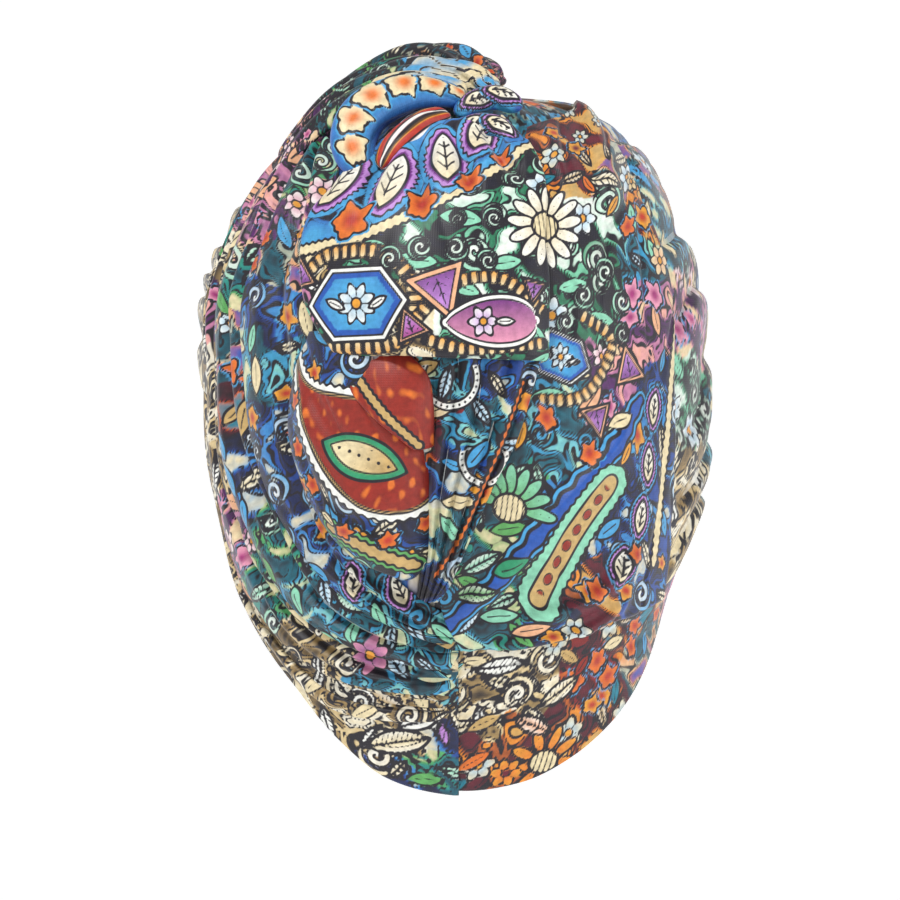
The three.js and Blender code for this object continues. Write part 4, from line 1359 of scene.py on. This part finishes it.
# ---- The flap that hangs from the knot ----------------------------------------------------------
TOP_FLAP = [
    [-25, 157, 19.5, 155, 9.5, 12, 9.5],
    [-31, 172, 20.5, 174, 9.5, 12, 8.5],
    [-35, 189, 21.5, 196, 8.6, 11, 7],
    [-36, 203, 23, 212, 8, 10.4, 6.5],
    [-32, 218, 21, 226, 7.6, 9.6, 6.5],
    [-24, 229, 14, 236, 7.2, 9, 7],
]
FLAP_ZONES = [
    (-44, 226, "deep"), (-30, 206, "deep"), (-8, 218, "deep"), (10, 226, "deep"), (22, 232, "deep"),
    (-50, 182, "chalk"), (-44, 172, "rose"), (-28, 184, "night"), (-6, 192, "night"), (12, 196, "night"),
    (26, 212, "night"), (-14, 168, "chalk"), (6, 160, "night"), (24, 176, "night"), (-46, 162, "night"),
]
FLAP_MOTIFS = [
    ("leaf", -52, 222, 10.0, 50), ("leaf", -38, 212, 12.0, 48), ("leaf", -20, 212, 12.0, 75),
    ("leaf", -2, 220, 11.5, 100), ("leaf", 10, 229, 10.0, 80), ("leaf", 21, 238, 8.0, 60),
    ("flame", -53, 207, 9.0, 20), ("flame", -33, 199, 10.5, 35), ("flame", -10, 205, 9.0, 80),
    ("flame", 6, 213, 7.5, 60), ("flame", 17, 222, 6.4, 60), ("flame", 27, 231, 5.4, 60),
    ("curl", -20, 186, 5, 10), ("curl", -10, 190, 5, 120), ("curl", 1, 190, 5, 220),
    ("curl", 12, 186, 4.5, 60), ("curl", 14, 200, 4.5, 60), ("curl", 22, 214, 5, 100),
    ("curl", 32, 210, 4.5, 0), ("curl", 2, 199, 3.5, 0, {"body": "emerald"}),
    ("daisy", 32, 199, 15, 10, {"petals": 13}),
    ("branch", -50, 181, 7.5, 10), ("branch", -4, 177, 12.5, 200),
    ("branch", -13, 164, 7, 20, {"body": "magenta"}), ("branch", 27, 177, 6, 170),
    ("cartouche", -31, 172, 15.5, 2),
    ("drop", 13, 166, 15.5, -178),
]


def flap_relief(cloth, up, across):
    """Valleys between the pleats that come out of the knot, and a sway along the lower edge."""
    folds = 0.0
    for top, low in [((-26, 232), (-50, 204)), ((-18, 230), (-32, 200)), ((-8, 230), (-10, 196)),
                     ((2, 232), (8, 204)), ((10, 236), (24, 212))]:
        middle_x, middle_height = (top[0] + low[0]) / 2, (top[1] + low[1]) / 2
        path = path_by_x([top, (middle_x - 1, middle_height + 1), low])
        folds = folds - crease(cloth, path, 4.6, 3.2, 3.2, 0.35)
    sway = 1.1 * np.sin(across * 15 + 1) * np.clip(1 - up * 2.2, 0, 1)
    return folds + sway + wrinkles(cloth[..., 0], cloth[..., 1], 14, 40, 0.45, 81)


def blue_field(dyes, outline, seed):
    """Royal blue with flowing lighter streaks and dark hollows inside a closed outline."""
    signed, unused_along = inside_outline(dyes.cloth, outline)
    every = np.arange(len(signed))
    flow = random_field(dyes.cloth, 15, seed)
    dyes.fill(every, signed, blend(0.45 + 0.4 * flow, "royal", "sky"), 0)
    dyes.fill(every, np.maximum(signed, (flow + 0.5) * 4), "night", LINE * 0.4)
    dyes.draw(every, np.where(signed < -1.5, np.abs(flow) * 4, FAR), LINE * 0.4)


def flap_art(dyes):
    """The blue field and its cream border, rows of beads, and the motifs."""
    blue_field(dyes, path_by_x([(-54, 190), (-37, 193), (-24, 197), (0, 208), (17, 219), (30, 227), (30, 242),
                                (4, 244), (-30, 236), (-58, 226), (-60, 204)]), 83)
    strip = [(-54, 189), (-37, 192), (-24, 196), (0, 207), (17, 218), (26, 225), (36, 226)]
    lay_band(dyes, path_by_x(strip), 2.0, "cream", 2.8, 0.35)
    round_cartouche = [(-47, 183), (-40, 188), (-22, 188), (-12, 176), (-16, 160), (-44, 157)]
    lay_beads(dyes, path_by_x(round_cartouche), 3.0, "cream")
    lay_beads(dyes, path_by_x([(-12, 166), (0, 178), (16, 180), (30, 170)]), 2.4, "cream")
    lay_beads(dyes, path_by_x([(-8, 160), (6, 157), (30, 159)]), 2.2, "cream")
    draw_all(dyes, FLAP_MOTIFS, by_x)


# ---- The bands over the nape --------------------------------------------------------------------
HEM_RISE = 2.2  # the sheet ends this far above the hem's line, since its edge rolls on beneath
HEM_ROLL = 0.8
BAND_LAP = 4.0  # how far the band goes on up under the folds
CAP_LAP = 5.0  # how far the cap goes on down under the bands


def band_surface(first, last, spacing, relief, hem_drop, edge_lift, middle):
    """A band between the hem and its upper edge: the hem rolled under, the rest a level-ended sheet.
    Edge lift is the stand-off near the seam at the centre of the back."""
    arc = math.radians(last - first) * HEAD_RADIUS
    across = np.linspace(0, 1, COARSE * round(arc / spacing / COARSE) + 1)
    up = np.linspace(0, 1, COARSE * round(BAND_DEPTH / spacing / COARSE) + 1)
    turn = first + (last - first) * across
    low = edge_height(HEM, turn) + HEM_RISE - hem_drop
    top = edge_height(BAND_TOP, turn) + BAND_LAP
    turn = np.broadcast_to(turn[None, :], (up.size, across.size))
    height = low[None, :] * (1 - up[:, None]) + top[None, :] * up[:, None]
    cloth = cloth_place(turn, height, middle)
    seam = np.exp(-np.abs(turn) / 6)
    lift = 1.0 + edge_lift * seam + relief(cloth, *np.broadcast_arrays(up[:, None], across[None, :]))
    points = on_head(turn, height, lift)
    upward, normals = unit(np.gradient(points, axis=0)), grid_normals(points)
    index, angle, way = rolled_edge(up.size, True, False)
    angle, way = angle[:, None, None], way[:, None, None]
    rolled = upward[index] * way * np.sin(angle) - normals[index] * (1 - np.cos(angle))
    wound = np.concatenate([np.zeros_like(angle), way * angle], -1)
    return points[index] + rolled * HEM_ROLL, cloth[index] + HEM_ROLL * wound


def band_relief(slant, depth, seed, height, left_width, paths):
    """Long wrinkles that slant across the band, and a fold along each path seen from behind."""
    table = [(path, height, left_width, 3.6) for path in paths]

    def relief(cloth, up, across):
        soft = wrinkles(cloth[..., 1] + slant * cloth[..., 0], cloth[..., 0], 9, 60, depth, seed)
        return (soft + creases(cloth, table, 0.12)) * np.clip(up * 5, 0, 1)
    return relief


LEFT_BAND_RELIEF = band_relief(0.2, 0.45, 91, 2.8, 2.0, [
    [(2, 53), (-18, 57), (-44, 74)], [(2, 46), (-20, 47), (-46, 62)],
    [(2, 37), (-20, 36), (-42, 48)], [(2, 26), (-16, 26), (-34, 34)],
])
RIGHT_BAND_RELIEF = band_relief(-0.2, 0.4, 95, 2.4, 2.2, [
    [(2, 50), (22, 52), (50, 60)], [(2, 40), (22, 37), (48, 44)], [(2, 24), (20, 22), (44, 34)],
])
LEFT_BAND_ZONES = [
    (-6, 54, "sea"), (-16, 48, "sea"), (-8, 42, "sea"), (-34, 54, "sea"), (-50, 62, "chalk"),
    (-24, 34, "chalk"), (-10, 30, "chalk"), (-40, 42, "chalk"), (-22, 18, "chalk"), (-60, 66, "chalk"),
    (-3, 20, "deep"), (-8, 10, "garden"), (-16, 8, "deep"), (-66, 80, "chalk"), (-72, 96, "chalk"),
]
LEFT_BAND_MOTIFS = [
    ("feather", -20, 19, 12, 8), ("feather", -38, 40, 11, 125, {"body": "cream"}),
    ("feather", -24, 32, 12, 140, {"body": "tan"}), ("feather", -50, 58, 10, 120, {"body": "white"}),
    ("blade", -10, 6, 6, 0, {"body": "leaf"}), ("curl", -33, 33, 6, 0, {"body": "white"}),
    ("curl", -8, 48, 5, 90, {"body": "cream", "light": "teal"}), ("blade", -4, 54, 6, 10, {"body": "tan"}),
    ("feather", -12, 27, 9, 20, {"body": "white"}), ("curl", -45, 50, 6, 30, {"body": "cream"}),
    ("blade", -3, 22, 4, 80, {"body": "lilac"}), ("feather", -60, 74, 10, 120),
]
RIGHT_BAND_ZONES = [
    (8, 44, "chalk"), (14, 32, "chalk"), (30, 40, "chalk"), (24, 52, "chalk"), (42, 26, "ember"),
    (16, 16, "ember"), (30, 10, "ember"), (54, 44, "wine"), (58, 34, "ember"), (46, 54, "wine"),
    (8, 8, "ember"), (66, 62, "ember"), (68, 48, "fair"), (72, 80, "wine"), (78, 110, "rose"),
]
RIGHT_BAND_MOTIFS = [
    ("feather", 40, 37, 9, 40), ("curl", 24, 36, 7, 0, {"body": "cream", "light": "white"}),
    ("feather", 18, 46, 9, 10, {"body": "white"}), ("flower", 38, 54, 6, 0, {"body": "cream"}),
    ("daisy", 34, 12, 13, 0, {"petals": 9, "body": "amber", "shade": "orange"}),
    ("blade", 12, 26, 6, 30, {"body": "tan"}), ("flame", 58, 42, 7, 40),
    ("flame", 52, 32, 6, 10, {"body": "amber"}), ("blade", 8, 12, 6, 40, {"body": "orange"}),
    ("feather", 30, 25, 8, 160, {"body": "peach"}), ("blade", 60, 54, 6, 20, {"body": "cream"}),
    ("flower", 20, 8, 6, 0, {"body": "amber", "heart": "maroon", "shade": "orange"}),
    ("flame", 68, 60, 6, 0), ("blade", 48, 46, 5, 60, {"body": "brick"}),
]


# What the bands' print goes on with round the sides and the front: turn, height and ground.
AROUND_ZONES = [
    (90, 90, "rose"), (105, 120, "chalk"), (120, 128, "sea"), (135, 150, "fair"),
    (150, 165, "night"), (165, 172, "ember"), (176, 180, "sea"),
]


def cloth_band(node, first, last, relief, hem_drop, edge_lift, middle, seed, zone_table, motif_table):
    """A band between two turns, printed."""
    spacing = 0.8
    points, cloth = band_surface(first, last, spacing, relief, hem_drop, edge_lift, middle)
    side = math.copysign(1, middle)
    around = [(side * turn, height, ground) for turn, height, ground in AROUND_ZONES]
    dyes = Print(cloth)

    def spot(x, height):
        return cloth_place(seen_from_behind(x, height), height, middle)

    lay_ground(dyes, zones(zone_table, spot) + zones(around, by_turn(middle)), seed)
    draw_all(dyes, motif_table, spot)
    piece = wall_object(node + "_cloth", points, *dyes.results(), cloth)
    size, area = flat_cut(band_surface(first, last, CUT_SPACING, no_relief, hem_drop, 0, middle)[0])
    finish_piece(piece, node)


# ---- The cap ------------------------------------------------------------------------------------
CAP_CUT = (0.34, 0.36)  # metres, a round blank
CAP_ZONES = [
    (-40, -30, "rose"), (-20, -50, "deep"), (20, -50, "sea"), (45, -20, "fair"),
    (0, 0, "night"), (-40, 20, "garden"), (40, 30, "ember"), (0, 50, "sea"),
]


def make_cap():
    """The cap from under the bands' upper edge to its crown, gathered towards the knot: a closed dome
    with a lining side, its crown a fan of faces."""
    columns, rows = 288, 88
    turn = np.linspace(0, 360, columns, endpoint=False) - 180
    low = edge_height(BAND_TOP, turn) - CAP_LAP
    share = np.linspace(1, 0, rows, endpoint=False)[:, None] ** 1.9  # closest together near the crown
    drop = drop_of(low)[None, :] * share
    turn = np.broadcast_to(turn[None, :], drop.shape)
    gathers = 0.5 * np.cos(np.radians(turn) * 24) * np.exp(-((drop - 4) / 4) ** 2)
    outer = on_head(turn, TOP - drop**2, gathers)
    pole = np.array([[*cap_point(0.0, 0.0)]])
    keep = slice(None, None, COARSE)
    inner = on_head(turn[keep, keep], TOP - drop[keep, keep] ** 2, gathers[keep, keep] - CLOTH_WALL)
    dyes = Print(outer[..., :2])
    lay_ground(dyes, CAP_ZONES, 5)
    dye, ink = dyes.results()
    few_rows, few_columns = inner.shape[:2]
    index = np.arange(rows * columns).reshape(rows, columns)
    few = rows * columns + np.arange(few_rows * few_columns).reshape(few_rows, few_columns)
    outer_pole, inner_pole = few[-1, -1] + 1, few[-1, -1] + 2

    def ring_faces(grid, flip):
        beside = np.roll(grid, -1, axis=1)
        quads = np.stack([grid[:-1], beside[:-1], beside[1:], grid[1:]], -1).reshape(-1, 4)
        return quads[:, ::-1] if flip else quads

    def fan(ring, at, flip):
        faces = np.stack([ring, np.roll(ring, -1), np.full(ring.size, at)], 1)
        return faces[:, ::-1] if flip else faces

    faces = [
        ring_faces(index, False),
        ring_faces(few, True),
        fan(index[-1], outer_pole, False),
        fan(few[-1], inner_pole, True),
        rim_faces(np.append(index[0], index[0, 0]), np.append(few[0], few[0, 0]), flip=True),
    ]
    points = np.concatenate([outer.reshape(-1, 3), inner.reshape(-1, 3), pole, pole - (0, 0, CLOTH_WALL)])
    wrong = lining_dye(dye[keep, keep].reshape(-1, 3))
    piece = build_object(
        "crown_cap_cloth",
        points,
        faces,
        np.concatenate([dye.reshape(-1, 3), wrong, dye[-1, :1], wrong[-1:]]),
        np.concatenate([ink.ravel(), np.full(len(wrong) + 2, FAR)]),
        points[:, :2],
    )
    finish_piece(piece, "crown_cap")
    around = np.append(np.arange(columns), 0)
    area = grid_area(on_head(turn, TOP - drop**2, 0 * drop)[:, around]) * MM**2
    area = min(area, CAP_CUT[0] * CAP_CUT[1])


# ---- The knot and the rolls over the crown ------------------------------------------------------
# Each roll: its node, the way it faces, how many pleats it has, how deep, and how far they turn about it,
# then its rows (x, y, height, half-width, half-thickness) and the grounds along it.
ROLLS = [
    ("front_roll_1", [-0.3, 0, 1], 6, 0.34, 0.5, [
        [-62, 2, 227, 4, 1.8], [-54, 4, 236, 6.5, 3.4], [-42, 4.5, 247, 8, 5.2], [-28, 3, 255, 8.6, 6.8],
        [-13, -1, 260, 9, 8], [1, -7, 260, 8.6, 7.6], [11, -15, 257, 6.5, 5.8], [17, -22, 253, 3.5, 3.4],
    ], ["rose", "sea", "garden", "ember", "fair", "rose"]),
    ("front_roll_2", [-0.3, -0.2, 1], 6, 0.28, 0.4, [
        [-62, -17, 225, 4, 1.6], [-53, -16, 235.5, 6, 3.2], [-41, -15.5, 246, 7.5, 4.8],
        [-27, -17, 253, 8.2, 5.8], [-12, -21, 256.5, 8.2, 6.4], [1, -26.5, 256, 7.6, 5.8],
        [10, -32, 253.5, 6, 4.6], [15, -38.5, 250, 3, 3],
    ], ["rose", "fair", "garden", "fair", "chalk", "chalk"]),
    ("front_roll_3", [-0.3, -0.5, 1], 5, 0.26, 0.4, [
        [-61, -36, 221, 4, 1.6], [-54, -36, 230, 5.5, 2.8], [-44, -35.5, 240, 6.5, 4.2],
        [-31, -36, 247.5, 7, 5], [-18, -39, 251.5, 7, 5.2], [-5, -43.5, 251.5, 6, 4.6],
        [5, -48, 249, 4, 3],
    ], ["rose", "rose", "garden", "fair", "fair", "chalk"]),
    ("knot_loop", [0, -1, 0.7], 4, 0.14, 0.3, [
        [-32, -80, 220, 6, 4], [-35, -72, 232, 8, 6], [-30, -64, 242.5, 8.6, 6.6],
        [-17, -59, 249, 7.6, 5.8], [-5, -57, 249.5, 5.5, 4.4], [5, -53, 247, 3.5, 2.8],
    ], ["deep", "deep", "deep", "deep"]),
    ("knot_core", [0, -1, 0.7], 4, 0.26, 0.35, [
        [-25, -82, 222, 3, 2.4], [-20, -78, 230, 4.8, 3.8], [-11, -72, 237.5, 5.4, 4.2],
        [-1, -65.5, 241.5, 3.4, 2.6],
    ], ["wine", "ember", "ember"]),
    ("knot_pleat_upper", [0, -1, 0.8], 3, 0.12, 0.2, [
        [1.5, -60.5, 241.5, 3, 2], [8, -56, 246.5, 4.5, 3.2], [16, -53, 248, 5, 3.4],
        [25, -53.5, 244, 3.6, 2.2],
    ], ["deep", "deep", "sea"]),
    ("knot_pleat_lower", [0, -1, 0.6], 3, 0.12, 0.2, [
        [0.5, -73, 234.5, 3, 2], [8, -70.5, 238, 4.2, 3], [16, -70.5, 237, 4.2, 3], [22, -75, 231, 2.6, 2],
    ], ["deep", "deep", "sea"]),
]


def loop_print_and_painted_highlight(dyes):
    """Royal blue, lightened to sky on the side of the roll that faces back and up, a painted highlight, with
    cream flame leaves that have orange hearts along that side.
    """
    centre = dyes.cloth.max(0) * (0.25, 0.5)
    # painted highlight: sky on the side of the roll that faces back and up, darkening to royal round the far
    # side
    dyes.dye[:] = blend(0.9 - np.abs(dyes.cloth[:, 0] - centre[0]) / 11, "royal", "sky")
    dyes.ink[:] = FAR
    length = dyes.cloth[:, 1].max()
    for place in (8, 19, 30, 41, 52, 63):
        if place < length - 4:
            flame_leaf(dyes, (centre[0] + 1, place), 8.4, 90, "cream", "orange")


def core_art(dyes):
    """Red with white and tan stripes along it."""
    pitch = 5.0
    across = np.mod(dyes.cloth[:, 0], pitch) - pitch / 2
    every = np.arange(len(across))
    dyes.fill(every, np.full(len(across), -1.0), "red", 0)
    dyes.ink[:] = FAR
    dyes.fill(every, np.abs(across) - 0.8, "white", LINE * 0.6)
    dyes.fill(every, np.abs(across + 1.7) - 0.4, "amber", LINE * 0.4)


def pleat_art(dyes):
    """Royal blue with a few haloed leaves."""
    dyes.dye[:] = blend(0.5 + 0.5 * random_field(dyes.cloth, 12, 77), "royal", "sky")
    dyes.ink[:] = FAR
    centre = dyes.cloth.max(0)
    veined_leaf(dyes, centre * (0.2, 0.35), 6, 100)
    veined_leaf(dyes, centre * (0.3, 0.72), 6, 80)


def stripe_art(dyes):
    """Zebra lines along the half of the roll that fans out to the right."""
    reach = dyes.cloth[:, 1] / dyes.cloth[:, 1].max()
    wave = dyes.cloth[:, 0] + 1.2 * random_field(dyes.cloth, 14, 78)
    every = np.arange(len(wave))
    pitch, half_width = 3.8, 1.4
    bars = np.abs(np.mod(wave, pitch) - pitch / 2) - half_width
    tint = blend(random_field(dyes.cloth, 22, 79), "cream", "sky")
    dyes.fill(every, np.where(reach > 0.55, bars, FAR), tint, 0)
    dyes.ink[(reach > 0.55) & (bars > 0)] = -LINE


ROLL_ART = {
    "knot_loop": loop_print_and_painted_highlight, "knot_core": core_art, "knot_pleat_upper": pleat_art,
    "knot_pleat_lower": pleat_art, "front_roll_2": stripe_art, "front_roll_3": stripe_art,
}


def make_rolls():
    """Each roll's zones stand in turn on one side of it and on the other."""
    for seed, (node, facing, pleats, depth, twist, rows, grounds) in enumerate(ROLLS, 200):
        table = np.asarray(rows, float)
        length = np.linalg.norm(np.diff(table[:, :3], axis=0), axis=1).sum()
        around = 2 * np.pi * table[:, 3:].mean()
        anchors = [
            (around * (0.25 + 0.5 * (i % 2)), length * (i + 0.5) / len(grounds), ground)
            for i, ground in enumerate(grounds)
        ]
        cloth_roll(node, rows, facing, 0.55, seed, anchors, ROLL_ART.get(node), pleats, depth, twist)


# ---- The whole turban ---------------------------------------------------------------------------
def make_turban():
    """Every piece, from the cap outwards."""
    make_cap()
    cloth_band(
        "nape_band_left", -180.6, 1.6, LEFT_BAND_RELIEF, 1.2, 1.2, -90, 3,
        LEFT_BAND_ZONES, LEFT_BAND_MOTIFS,
    )
    cloth_band(
        "nape_band_right", -1.0, 180.6, RIGHT_BAND_RELIEF, 0, -0.7, 90, 4,
        RIGHT_BAND_ZONES, RIGHT_BAND_MOTIFS,
    )
    cloth_strip(
        "crown_panel", CROWN_PANEL, 0.6, crown_relief, "rb", 2, zones(CROWN_ZONES, by_x), crown_print_and_ridge_shading,
        radius=1.7,
    )
    right, left = by_turn(120), by_turn(-120)
    cloth_strip(
        "side_panel_right", SIDE_RIGHT, 1.25, side_relief, "b", 6, zones(SIDE_RIGHT_ZONES, right),
        lambda dyes: draw_all(dyes, SIDE_RIGHT_MOTIFS, right),
        middle=120,
    )
    cloth_strip(
        "side_panel_left", SIDE_LEFT, 1.25, left_side_relief, "b", 7, zones(SIDE_LEFT_ZONES, left),
        lambda dyes: draw_all(dyes, SIDE_LEFT_MOTIFS, left),
        middle=-120,
    )
    for number in (1, 2, 3, 4):
        cloth_strip(
            f"left_fold_{number}", fold_rows(number), 0.65, fold_relief(number), "l", 10 + number,
            zones(FOLD_ZONES[number], by_x), lambda dyes: draw_all(dyes, FOLD_MOTIFS[number], by_x),
        )
    cloth_strip(
        "centre_drape", DRAPE, 0.55, drape_relief, "lrb", 20, zones(DRAPE_ZONES, by_x), drape_art,
        radius=1.9,
    )
    cloth_strip(
        "drape_fold", DRAPE_FOLD, 0.6, no_relief, "lrb", 22, zones(DRAPE_ZONES, by_x), drape_fold_art,
    )
    cloth_strip(
        "centre_gather", GATHER, 0.55, gather_relief, "r", 24, zones(GATHER_ZONES, by_x), gather_art,
    )
    cloth_strip(
        "top_flap", TOP_FLAP, 0.55, flap_relief, "lrb", 26, zones(FLAP_ZONES, by_x), flap_art,
        radius=1.8,
    )
    make_rolls()


make_camera()
make_studio()
make_turban()
